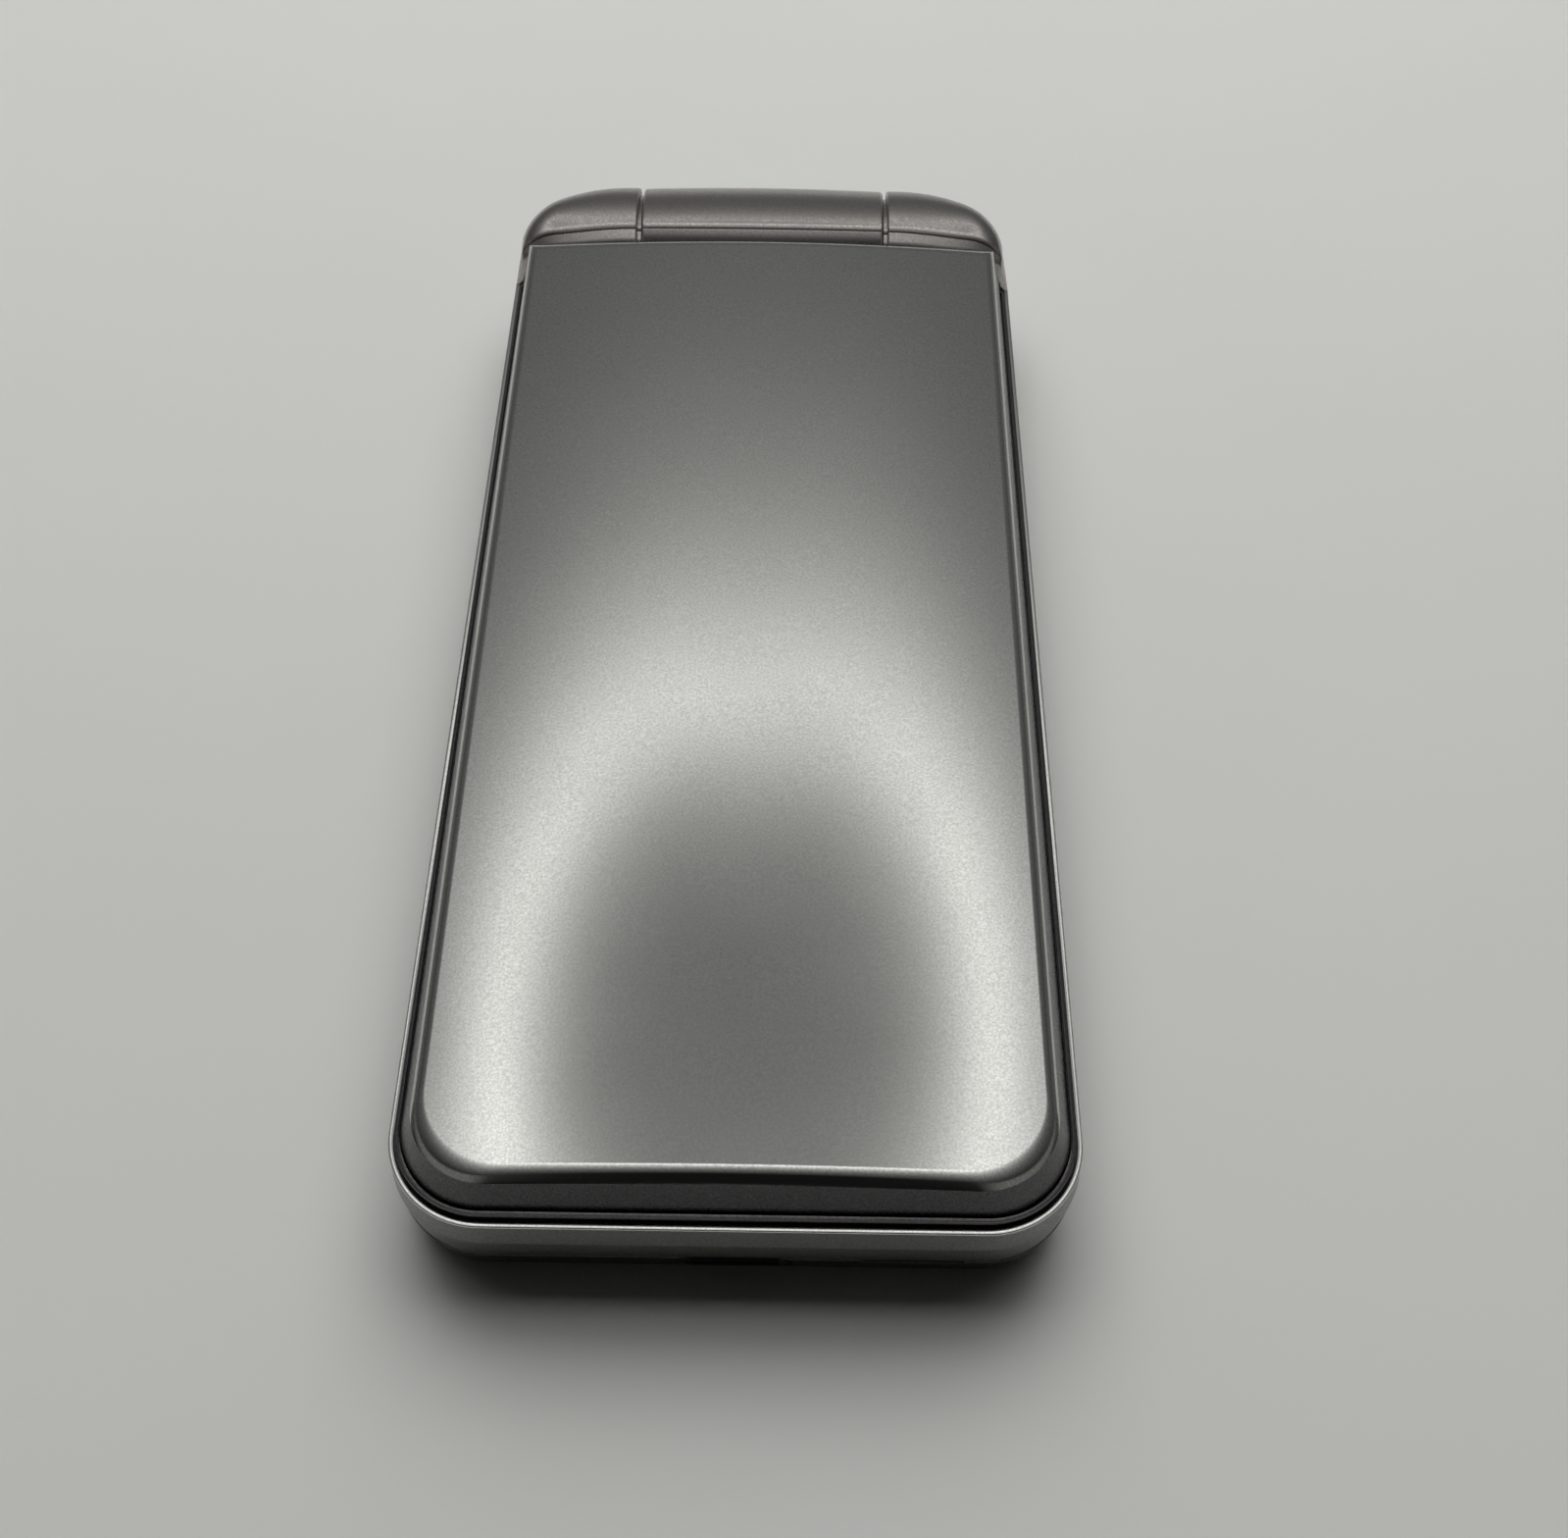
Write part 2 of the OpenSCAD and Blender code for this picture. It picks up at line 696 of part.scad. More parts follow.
// Hollow sleeve on which the barrel's left end turns, with the flex cable inside
core_cap = 1;
sleeve_from = core_cap - core_end;
module pivot_sleeve() {
  color(steel)
    difference() {
      axle(sleeve_r, sleeve_from, sleeve_in - half_barrel);
      axle(sleeve_r - sleeve_wall, sleeve_from - over, sleeve_in - half_barrel + over);
    }
}

// Flex cable rolled up along the hinge axis
flex_t = 0.4;
flex_r = sleeve_r - sleeve_wall - 1.5 * pocket;
module hinge_flex() {
  color("#b06a28")
    difference() {
      axle(flex_r, sleeve_from + core_cap, capsule_from - capsule_web - pocket);
      axle(flex_r - flex_t, sleeve_from, capsule_from);
    }
}

// Upper case of the base: side walls, rim, ledge for the keypad plate and the outer knuckles
rib_t = 1;
module base_front_case() {
  color(silver)
    difference() {
      union() {
        difference() {
          swept(case_edge);
          slab(part_z - over, deck_z - ledge_t)
            bay(wall);
          slab(part_z - over, deck_z + over)
            bay(ledge_w);
          slab(deck_z, rim_z + over)
            bay(rim_w);
          axle(pocket_r, -knuckle_x, knuckle_x);
          box([-knuckle_x, hinge_y, sill_z], [knuckle_x, y_rear + over, rim_z + over]);
        }
        for (side = [-1, 1])
          difference() {
            bar_segment(side);
            cap_space(0);
          }
        axle(core_r, knuckle_x, core_end);
        axle(core_r, -core_end, -knuckle_x);
        for (side = [-1, 1], y = [base_screw_front, base_screw_rear])
          translate([side * base_screw_x, y, frame_top])
            cylinder(r = boss_r, h = deck_z - frame_top);
        for (side = [-1, 1], y = [base_screw_front, base_screw_rear])
          box([side > 0 ? base_screw_x : wall / 2 - hx, y - rib_t / 2, deck_z - ledge_t],
            [side > 0 ? hx - wall / 2 : -base_screw_x, y + rib_t / 2, deck_z]);
      }
      axle(sleeve_r + seat, sleeve_from - seat, over - knuckle_x);
      translate([knuckle_x, hinge_y, hinge_z])
        cube([2 * head_l, 2 * (head_half + seat), 2 * (head_half + seat)], center = true);
      for (side = [-1, 1], y = [base_screw_front, base_screw_rear])
        translate([side * base_screw_x, y, frame_top - over])
          cylinder(r = screw_r + run_clear, h = deck_z - frame_top + over - boss_cap);
      translate([-hx, volume_y, volume_z])
        rotate([90, 0, 90])
          linear_extrude(4 * wall, center = true)
            slot_2d(volume_l + 2 * key_gap, volume_h + 2 * key_gap);
    }
}

// Keypad plate that drops into the rim, with an opening for every key
microphone_y = (y_front + rim_w + key_place(10)[1] - key_l / 2) / 2;
microphone_r = 0.6;
microphone_w = 3;
module keypad_plate() {
  color("#9fa2a6")
    difference() {
      slab(deck_z, plate_z)
        bay(rim_w + seat);
      for (i = [0:len(KEY_NAMES) - 1])
        translate([key_place(i)[0], key_place(i)[1], deck_z - over])
          linear_extrude(plate_t + 2 * over)
            key_outline(key_size(i), key_gap);
      translate([0, nav_y, deck_z - over])
        cylinder(r = nav_r + key_gap, h = plate_t + 2 * over);
      translate([0, microphone_y, deck_z - over])
        cylinder(r = microphone_r, h = plate_t + 2 * over);
    }
}

// Direction ring: a dished ring with a lip under the plate
nav_dish = 0.25;
nav_bevel = 1;
ok_lip_t = 0.2;
module nav_ring() {
  color("#c4c7cb")
    translate([0, nav_y, 0])
      difference() {
        rotate_extrude()
          polygon([
            [0, flange_z - key_flange_t], [nav_r + key_lip, flange_z - key_flange_t],
            [nav_r + key_lip, flange_z], [nav_r, flange_z], [nav_r, key_top - nav_dish],
            [nav_r - nav_bevel, key_top], [ok_r + key_gap, key_top - nav_dish], [0, key_top - nav_dish]
          ]);
        translate([0, 0, rim_z - 3 * over])
          cylinder(r = ok_r + key_gap, h = 6 * over);
        translate([0, 0, key_low])
          cylinder(r = ok_r + key_gap + 2 * key_lip, h = ok_lip_t + travel + seat);
      }
}

// Centre key inside the direction ring
ok_bevel = 0.2;
module ok_key() {
  color("#b4b7bb")
    translate([0, nav_y, 0])
      rotate_extrude()
        polygon([
          [0, key_low], [ok_r + key_lip, key_low], [ok_r + key_lip, key_low + ok_lip_t],
          [ok_r, key_low + ok_lip_t], [ok_r, key_top - ok_bevel],
          [ok_r - 3 * ok_bevel, key_top], [0, key_top]
        ]);
}

// Volume key, flush in the left side wall
volume_y = bay_rear - volume_inset;
volume_z = (part_z + deck_z - ledge_t) / 2;
volume_face = flank(volume_z - volume_h / 2) + seat;
volume_lip = 0.4;
volume_lip_t = 0.5;
module volume_key() {
  color(warm_grey)
    translate([-hx, volume_y, volume_z])
      rotate([90, 0, 90]) {
        translate([0, 0, volume_face])
          linear_extrude(wall + seat + volume_lip_t / 2 - volume_face)
            slot_2d(volume_l, volume_h);
        translate([0, 0, wall + seat])
          linear_extrude(volume_lip_t)
            square([volume_l + 4 * volume_lip, volume_h + 2 * volume_lip], center = true);
      }
}

// Rear cover: a shallow clipped pan with the socket's mouth, a pry slot, camera and speaker openings
mouth_clear = 0.05;
usb_z = part_z - usb_h / 2 - mouth_clear;
usb_shell = 0.3;
usb_inset = 1.5;
usb_front = y_front + usb_inset;
usb_dip = 0.3;
cover_step = 0.3;
cover_wall = wall + cover_step;
foot_wall = 2 * wall;
foot_z = 2.2;
camera_x = -11.5;
camera_inset = 10.5;
camera_y = bay_rear - camera_inset;
speaker_x = 12.5;
speaker_slots = 5;
slot_pitch = 1.8;
slot_w = 10;
slot_h = 0.8;
module rear_cover() {
  color(warm_grey)
    difference() {
      swept(cover_edge);
      slab(foot_z, part_z + over)
        plan(cover_wall);
      slab(floor_t, foot_z + over)
        plan(foot_wall);
      translate([0, y_front, usb_z])
        along_y(2 * usb_inset)
          slot_2d(usb_w + 2 * mouth_clear, usb_h + 2 * mouth_clear);
      box([-usb_w / 2 - usb_shell - pocket, usb_front - seat, floor_t - usb_dip],
        [usb_w / 2 + usb_shell + pocket, usb_front + usb_l + pocket, part_z + over]);
      box([pry_x - pry_w / 2, y_front - over, part_z - pry_h],
        [pry_x + pry_w / 2, y_front + 2 * wall / 3, part_z + over]);
      translate([camera_x, camera_y, -over])
        cylinder(r = camera_r + seat, h = floor_t + 2 * over);
      for (i = [0:speaker_slots - 1])
        translate([speaker_x, camera_y + (i - (speaker_slots - 1) / 2) * slot_pitch, -over])
          linear_extrude(floor_t + 2 * over)
            slot_2d(slot_w, slot_h);
    }
}

// Clear window over the camera, set a little below the cover's face
module camera_window() {
  color("#303840")
    translate([camera_x, camera_y, 3 * seat])
      cylinder(r = camera_r, h = floor_t - 4 * seat);
}

// Dust mesh behind the speaker slots
mesh_t = 0.2;
speaker_w = 14;
speaker_l = 10;
speaker_t = 2.9;
speaker_low = floor_t + mesh_t + seat;
speaker_top = speaker_low + speaker_t;
module speaker_mesh() {
  color(black)
    slab(floor_t, floor_t + mesh_t)
      translate([speaker_x, camera_y])
        square([speaker_w, speaker_l], center = true);
}

// Middle frame: the chassis with the battery bay and a pocket for each module
frame_inset = foot_wall + pocket;
frame_corner_r = 1;
battery_w = 2 * (hx - frame_inset - battery_side);
battery_l = bay_rear - module_l - y_front - socket_l;
battery_y = bay_rear - module_l - battery_l / 2;
battery_top = frame_low + seat + battery_t;
contact_y = battery_y + battery_l / 2 + seat;
contact_l = 1.6;
contact_w = 1.6;
contact_h = 2.5;
contact_pitch = 4;
motor_r = 4;
motor_t = 2.8;
motor_side = 10.5;
motor_front = 11;
motor_x = hx - motor_side;
motor_y = y_front + motor_front;
card_w = 9;
card_l = 14;
card_t = 1.5;
card_wall = 0.4;
charge_w = 13;
charge_l = 12;
charge_t = 0.6;
camera_w = 8.4;
camera_step = 1.2;
shield_t = 1.3;
shield_w = 10;
shield_l = 12;
shield_x = 8;
shield_gap = 0.6;
usb_top = usb_z + usb_h / 2 + usb_shell;
module mid_frame() {
  color(dark_grey)
    difference() {
      union() {
        slab(frame_low, frame_top)
          rounded(hx - frame_inset, y_front + frame_inset, bay_rear - pocket,
            front_r - frame_inset, frame_corner_r);
        slab(part_z + 2 * seat, frame_top)
          rounded(hx - wall - pocket, y_front + wall + pocket, bay_rear - pocket,
            front_r - wall - pocket, frame_corner_r);
      }
      slab(frame_low - over, battery_top + 2 * seat)
        translate([0, battery_y])
          square([battery_w + 2 * pocket, battery_l + 2 * pocket], center = true);
      box([-1.5 * contact_pitch, contact_y - over, frame_low - over],
        [1.5 * contact_pitch, contact_y + contact_l + pocket, frame_low + contact_h + pocket]);
      box([-charge_w / 2 - pocket, y_front, frame_low - over],
        [charge_w / 2 + pocket, usb_front + charge_l + pocket, usb_top + charge_t + pocket]);
      slab(frame_low - over, speaker_top + 2 * seat)
        translate([speaker_x, camera_y])
          square([speaker_w + 2 * pocket, speaker_l + 2 * pocket], center = true);
      slab(frame_low - over, frame_top + over)
        translate([camera_x, camera_y])
          square([camera_w + 2 * pocket, camera_w + 2 * pocket], center = true);
      slab(frame_low - over, frame_low + card_t + 2 * seat)
        translate([0, camera_y])
          square([card_w + 2 * pocket, card_l + 2 * pocket], center = true);
      translate([motor_x, motor_y, frame_low - over])
        cylinder(r = motor_r + pocket, h = motor_t + pocket + over);
      slab(frame_top - shield_t - pocket, frame_top + over)
        translate([shield_x, camera_y])
          square([2 * (shield_w + shield_gap), shield_l + 2 * pocket], center = true);
      for (side = [-1, 1], y = [base_screw_front, base_screw_rear])
        translate([side * base_screw_x, y, frame_low - over]) {
          cylinder(r = screw_r + pocket, h = frame_top);
          cylinder(r = head_r + pocket, h = base_head_z + head_t - frame_low + over);
        }
      translate([0, volume_y, volume_z])
        box([-hx, -volume_l / 2 - 3 * volume_lip, -volume_h / 2 - 3 * volume_lip],
          [wall + volume_lip_t + 4 * travel - hx, volume_l / 2 + 3 * volume_lip, frame_top]);
    }
}

// Main circuit board under the keypad
board_gap = 0.4;
board_inset = ledge_w + board_gap;
module main_board() {
  color(board_green)
    difference() {
      slab(board_z, board_z + board_t)
        rounded(hx - board_inset, y_front + board_inset, bay_rear - board_gap,
          front_r - board_inset, frame_corner_r);
      for (side = [-1, 1], y = [base_screw_front, base_screw_rear])
        translate([side * base_screw_x, y, board_z - over])
          cylinder(r = boss_r + pocket, h = board_t + 2 * over);
    }
}

// Pressed shield cans under the board
module shield_cans() {
  color(steel)
    for (side = [-1, 1])
      slab(board_z - shield_t, board_z)
        translate([shield_x + side * (shield_w + shield_gap) / 2, camera_y])
          square([shield_w, shield_l], center = true);
}

// Sheet of snap domes, one under each key
module dome_sheet() {
  color("#d8d8d0")
    slab(dome_z - dome_t, dome_z)
      translate([0, (key_place(10)[1] + nav_y) / 2])
        square([2 * pitch_x + key_w - 2 * key_r, nav_y - key_place(10)[1] + key_l + soft_l],
          center = true);
}

// Battery pack in its bay
module battery() {
  color("#3a3c40")
    slab(frame_low + seat, battery_top)
      translate([0, battery_y])
        rounded(battery_w / 2, -battery_l / 2, battery_l / 2, frame_corner_r, frame_corner_r);
}

// Spring contacts at the end of the battery bay
module battery_contacts() {
  color("#c8a24a")
    for (i = [-1:1])
      translate([i * contact_pitch, 0, 0])
        box([-contact_w / 2, contact_y, frame_low + pocket],
          [contact_w / 2, contact_y + contact_l, frame_low + contact_h]);
}

// Small board that carries the socket
module charge_board() {
  color(board_green)
    box([-charge_w / 2, usb_front + usb_inset, usb_top + seat],
      [charge_w / 2, usb_front + charge_l, usb_top + charge_t]);
}

// Charging socket: folded shell, back wall and tongue
usb_back = 1;
tongue_w = 6.7;
tongue_t = 0.7;
tongue_inset = 1.2;
module usb_socket() {
  color(steel)
    translate([0, usb_front + usb_l / 2, usb_z]) {
      difference() {
        along_y(usb_l)
          slot_2d(usb_w + 2 * usb_shell, usb_h + 2 * usb_shell);
        translate([0, -usb_back, 0])
          along_y(usb_l)
            slot_2d(usb_w, usb_h);
      }
      translate([-tongue_w / 2, tongue_inset - usb_l / 2, -tongue_t / 2])
        cube([tongue_w, usb_l - tongue_inset - usb_back / 2, tongue_t]);
    }
}

// Loudspeaker behind the mesh
module loudspeaker() {
  color(black)
    slab(speaker_low, speaker_top)
      translate([speaker_x, camera_y])
        rounded(speaker_w / 2, -speaker_l / 2, speaker_l / 2, 2 * frame_corner_r, 2 * frame_corner_r);
}

// Microphone on the board, under its hole in the keypad plate
module microphone() {
  color(steel)
    slab(board_z + board_t, deck_z - seat)
      translate([0, microphone_y])
        square([microphone_w, microphone_w], center = true);
}

// Coin vibration motor
module vibration_motor() {
  color(steel)
    translate([motor_x, motor_y, frame_low + 2 * seat])
      cylinder(r = motor_r, h = motor_t);
}

// Camera module: square holder and round lens barrel
module camera_module() {
  color(black)
    translate([camera_x, camera_y, 0]) {
      slab(floor_t + camera_step, board_z - seat)
        square([camera_w, camera_w], center = true);
      translate([0, 0, floor_t])
        cylinder(r = camera_r - camera_step, h = 1.5 * camera_step);
    }
}

// Cage for the cards, beside the battery
module card_holder() {
  color(steel)
    difference() {
      slab(frame_low + seat, frame_low + card_t)
        translate([0, camera_y])
          square([card_w, card_l], center = true);
      slab(frame_low + card_wall, frame_low + card_t - card_wall)
        translate([0, camera_y - card_wall])
          square([card_w - 2 * card_wall, card_l], center = true);
    }
}

// Four screws that close the base
module base_screws() {
  color(steel)
    for (side = [-1, 1], y = [base_screw_front, base_screw_rear])
      translate([side * base_screw_x, y, 0]) {
        translate([0, 0, base_head_z])
          cylinder(r = head_r, h = head_t);
        translate([0, 0, base_head_z + head_t / 2])
          cylinder(r = screw_r, h = deck_z - boss_cap - tip_gap - base_head_z - head_t / 2);
      }
}

// Caps over the outer knuckles
module hinge_cap(side) {
  color(warm_grey)
    difference() {
      intersection() {
        bar_segment(side);
        cap_space(seat);
      }
      mirror([side > 0 ? 0 : 1, 0, 0])
        axle(core_r + seat, knuckle_x - over, core_end + seat);
    }
}
module hinge_cap_left() {
  hinge_cap(-1);
}
module hinge_cap_right() {
  hinge_cap(1);
}

// Display module in the lid's tray
module display_module() {
  color(black)
    slab(display_low, display_low + display_t)
      translate([0, window_y])
        square([display_w, display_l], center = true);
}

// Window over the display, sunk a little in the lid's inner face
window_r = 1.5;
module display_window() {
  color("#202428")
    slab(window_low, window_high)
      translate([0, window_y])
        rounded(window_w / 2, -window_l / 2, window_l / 2, window_r, window_r);
}

// Earpiece capsule behind its slot
module earpiece() {
  color(black)
    slab(cover_z + seat, cover_z + earpiece_t)
      translate([0, earpiece_y])
        rounded(earpiece_w / 2, -earpiece_l / 2, earpiece_l / 2, window_r, window_r);
}

// Magnet that tells the board when the lid is shut
module lid_magnet() {
  color(steel)
    slab(magnet_z + seat, magnet_z + magnet_t)
      translate([magnet_x, earpiece_y])
        square([magnet_w, magnet_l], center = true);
}

// Rubber stops over the front screws, which meet the keypad plate when the lid shuts
module lid_bumpers() {
  color(black)
    for (side = [-1, 1])
      translate([side * lid_screw_x, lid_screw_front, plate_z + seat])
        cylinder(r = head_r + pocket - seat, h = lid_head_z - plate_z - 2 * seat);
}

// Plugs over the screws beside the hinge
module screw_caps() {
  color(dark_grey)
    for (side = [-1, 1])
      translate([side * lid_screw_x, lid_screw_rear, lid_z + seat])
        cylinder(r = head_r + pocket - seat, h = lid_head_z - lid_z - 2 * seat);
}

// Four screws that close the lid
module lid_screws() {
  color(steel)
    for (side = [-1, 1], y = [lid_screw_front, lid_screw_rear])
      translate([side * lid_screw_x, y, 0]) {
        translate([0, 0, lid_head_z])
          cylinder(r = head_r, h = head_t);
        translate([0, 0, lid_head_z + head_t / 2])
          cylinder(r = screw_r, h = tray_top + lid_bore - tip_gap - lid_head_z - head_t / 2);
      }
}

base_front_case();
keypad_plate();
rear_cover();
camera_window();
speaker_mesh();
mid_frame();
main_board();
shield_cans();
dome_sheet();
battery();
battery_contacts();
charge_board();
usb_socket();
loudspeaker();
microphone();
vibration_motor();
camera_module();
card_holder();
base_screws();
hinge_cap_left();
hinge_cap_right();
pivot_sleeve();
hinge_shaft();
lid_cover();
lid_frame();
hinge_barrel();
hinge_capsule();
hinge_flex();
display_module();
display_window();
earpiece();
lid_magnet();
lid_bumpers();
screw_caps();
lid_screws();
volume_key();
nav_ring();
ok_key();
for (i = [0:len(KEY_NAMES) - 1])
  key(i);
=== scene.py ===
import math

import bmesh
import bpy
import numpy as np
from mathutils import Matrix, Vector, geometry


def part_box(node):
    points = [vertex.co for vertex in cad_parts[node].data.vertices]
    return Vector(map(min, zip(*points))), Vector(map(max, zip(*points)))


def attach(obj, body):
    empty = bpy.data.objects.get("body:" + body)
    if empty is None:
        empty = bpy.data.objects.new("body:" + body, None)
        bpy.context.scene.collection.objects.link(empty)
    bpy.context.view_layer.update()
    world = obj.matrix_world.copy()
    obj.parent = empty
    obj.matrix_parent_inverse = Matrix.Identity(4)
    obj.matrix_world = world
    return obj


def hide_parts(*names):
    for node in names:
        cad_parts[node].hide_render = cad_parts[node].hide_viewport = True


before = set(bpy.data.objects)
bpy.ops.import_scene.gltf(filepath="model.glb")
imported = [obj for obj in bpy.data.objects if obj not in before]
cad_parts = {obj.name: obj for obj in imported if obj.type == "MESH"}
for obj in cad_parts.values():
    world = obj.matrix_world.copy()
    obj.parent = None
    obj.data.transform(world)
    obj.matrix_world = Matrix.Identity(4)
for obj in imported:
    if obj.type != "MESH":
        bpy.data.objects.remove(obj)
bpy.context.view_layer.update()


# Base front case: the frame of the lower half, with the side walls, the rim that the lid closes over
# and the cradle of the hinge. It is injection moulded in ABS and sprayed a fine matte metallic grey.
MM, CLOUD_MM = 0.001, 14.0
CASE_HALF, CASE_FRONT, CASE_REAR = 25.5, -57.5, 57.0
CASE_FRONT_R, CASE_REAR_R = 7.5, 11.5
PARTING_Z, CREASE_Z, RIM_Z, LEDGE_Z = 3.9, 6.5, 9.0, 8.75
HINGE_Y, HINGE_Z = 51.3, 9.7
KNUCKLE_X = 12.75
CRADLE_R, SILL_Z = 6.5, 5.15
PLATE_INSET = 2.0
VOLUME_Y, VOLUME_Z, VOLUME_L, VOLUME_H = 16.0, 5.5, 17.0, 2.0
KEY_GAP = 0.2


def linear(colour):
    """sRGB hex to linear: a channel c is c / 12.92 in the darks and ((c + 0.055) / 1.055) ^ 2.4 above them."""
    c = np.array([int(colour[i:i + 2], 16) for i in (1, 3, 5)]) / 255
    c = np.where(c <= 0.04045, c / 12.92, ((c + 0.055) / 1.055) ** 2.4)
    return (*c.tolist(), 1.0)


def add(tree, kind, links=None, values=None, **settings):
    """Adds one shader node: settings are its own properties, values are constants by input, and links are sockets by
    input, or nodes that stand for their first output in use."""
    node = tree.nodes.new("ShaderNode" + kind)
    for key, value in settings.items():
        setattr(node, key, value)
    for key, value in (values or {}).items():
        node.inputs[key].default_value = value
    for key, source in (links or {}).items():
        if isinstance(source, bpy.types.Node):
            source = next(socket for socket in source.outputs if socket.enabled)
        tree.links.new(source, node.inputs[key])
    return node


def new_material(name):
    """An empty material of that name, and its node tree."""
    material = bpy.data.materials.new(name)
    material.use_nodes = True
    material.node_tree.nodes.clear()
    return material, material.node_tree


def fine_grain(name, colour, grain_colour, roughness, grain_mm, relief, metallic=1.0, spread=0.05):
    """A finish with a fine grain, as paint flakes, a mould's texture or drawn metal give: grains of grain_mm shift
    the colour, the roughness and, by relief mm, the surface's tilt, and a faint cloud of CLOUD_MM shifts its gloss.
    Real paint flakes of about 0.03 mm would not show, so the paints draw them at 0.15 to 0.2 mm."""
    material, tree = new_material(name)
    place = add(tree, "TexCoord").outputs["Object"]
    grains = add(tree, "TexNoise", {"Vector": place}, {"Scale": 1 / (grain_mm * MM), "Detail": 2.0, "Roughness": 0.6})
    cloud = add(tree, "TexNoise", {"Vector": place}, {"Scale": 1 / (CLOUD_MM * MM), "Detail": 3.0})
    share = add(tree, "MapRange", {"Value": grains}, {"From Min": 0.35, "From Max": 0.68})
    tint = add(tree, "Mix", {"Factor": share}, {"A": linear(colour), "B": linear(grain_colour)}, data_type="RGBA")
    grit = add(tree, "MapRange", {"Value": grains},
               {"From Min": 0.3, "From Max": 0.7, "To Min": roughness + spread, "To Max": roughness - spread})
    haze = add(tree, "MapRange", {"Value": cloud},
               {"From Min": 0.3, "From Max": 0.7, "To Min": -0.012, "To Max": 0.012})
    rough = add(tree, "Math", {0: grit, 1: haze}, operation="ADD")
    tilt = add(tree, "Bump", {"Height": grains}, {"Strength": 1.0, "Distance": relief * MM})
    shader = add(tree, "BsdfPrincipled", {"Base Color": tint, "Roughness": rough, "Normal": tilt},
                 {"Metallic": metallic})
    add(tree, "OutputMaterial", {"Surface": shader})
    return material


def quads(n, m, around=False):
    """Faces of a grid of n by m points, numbered row by row: each joins a point to the next along both ways,
    and with around the last row joins the first."""
    i, j = np.meshgrid(np.arange(n if around else n - 1), np.arange(m - 1), indexing="ij")
    k = ((i + 1) % n).ravel()
    i, j = i.ravel(), j.ravel()
    return np.stack([i * m + j, k * m + j, k * m + j + 1, i * m + j + 1], axis=1)


def skin(grid, around=False):
    """A grid of points with the faces between them."""
    return grid, quads(*grid.shape[:2], around)


def put_mesh(name, body, parts, material, sharp=35.0):
    """Joins grids of points, in mm, and their faces into one object, merges points that meet, shades it smooth
    up to the sharp angle, and lets it ride on its body."""
    points, faces, start = [], [], 0
    for xyz, rows in parts:
        points.append(np.reshape(xyz, (-1, 3)))
        faces += (np.asarray(rows) + start).tolist()
        start += len(points[-1])
    mesh = bpy.data.meshes.new(name)
    mesh.from_pydata((np.concatenate(points) * MM).tolist(), [], faces)
    welded = bmesh.new()
    welded.from_mesh(mesh)
    bmesh.ops.remove_doubles(welded, verts=welded.verts, dist=1e-4 * MM)
    welded.to_mesh(mesh)
    welded.free()
    mesh.shade_smooth()
    mesh.set_sharp_from_angle(angle=math.radians(sharp))
    mesh.materials.append(material)
    obj = bpy.data.objects.new(name, mesh)
    bpy.context.scene.collection.objects.link(obj)
    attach(obj, body)
    return obj


def outline(half, front, rear, front_r, rear_r, gap=0.0, step=1.5, arc=28, front_xs=None, left_ys=None):
    """A rounded rectangle run counter-clockwise from the middle of its rear edge, as points and outward normals:
    straight runs, and corners centre + r (cos a, sin a). With a gap it is open there, from -gap round to gap."""
    def run(a, b):
        return np.linspace(a, b, max(2, math.ceil(abs(b - a) / step)), endpoint=False)

    def straight(x, y, nx, ny):
        xy = np.stack(np.broadcast_arrays(x, y), axis=1)
        return xy, np.broadcast_to([nx, ny], xy.shape)

    def corner(x, y, r, start):
        a = np.radians(np.linspace(start, start + 90, arc, endpoint=False))
        out = np.stack([np.cos(a), np.sin(a)], axis=1)
        return [x, y] + r * out, out

    wide, deep = half - rear_r, half - front_r
    runs = [
        straight(run(-gap, -wide), rear, 0, 1),
        corner(-wide, rear - rear_r, rear_r, 90),
        straight(-half, run(rear - rear_r, front + front_r) if left_ys is None else left_ys, -1, 0),
        corner(-deep, front + front_r, front_r, 180),
        straight(run(-deep, deep) if front_xs is None else front_xs, front, 0, -1),
        corner(deep, front + front_r, front_r, 270),
        straight(half, run(front + front_r, rear - rear_r), 1, 0),
        corner(wide, rear - rear_r, rear_r, 0),
        straight(run(wide, gap), rear, 0, 1),
    ]
    if gap:
        runs.append(straight(np.array([gap]), rear, 0, 1))
    return np.concatenate([r[0] for r in runs]), np.concatenate([r[1] for r in runs])


def sweep(path, out, inset, z):
    """A profile carried along a path: each path point moves in by inset along its normal, at height z."""
    inset = np.broadcast_to(inset, (len(path), np.shape(inset)[-1]))
    xy = path[:, None] - out[:, None] * inset[..., None]
    return np.concatenate([xy, np.broadcast_to(z, inset.shape)[..., None]], axis=2)


def wall_inset(z):
    """The wall leans in 0.06 mm per mm above its crease, and below it by 0.05 d + d² / 50 for a drop d."""
    d = CREASE_Z - z
    return np.where(d > 0, 0.05 * d + d ** 2 / 50, -0.06 * d)


def slot_distance(u, v, length, height):
    """Signed distance to a round-ended slot: the distance to its middle line less half its height."""
    return np.hypot(np.maximum(np.abs(u) - (length - height) / 2, 0), v) - height / 2


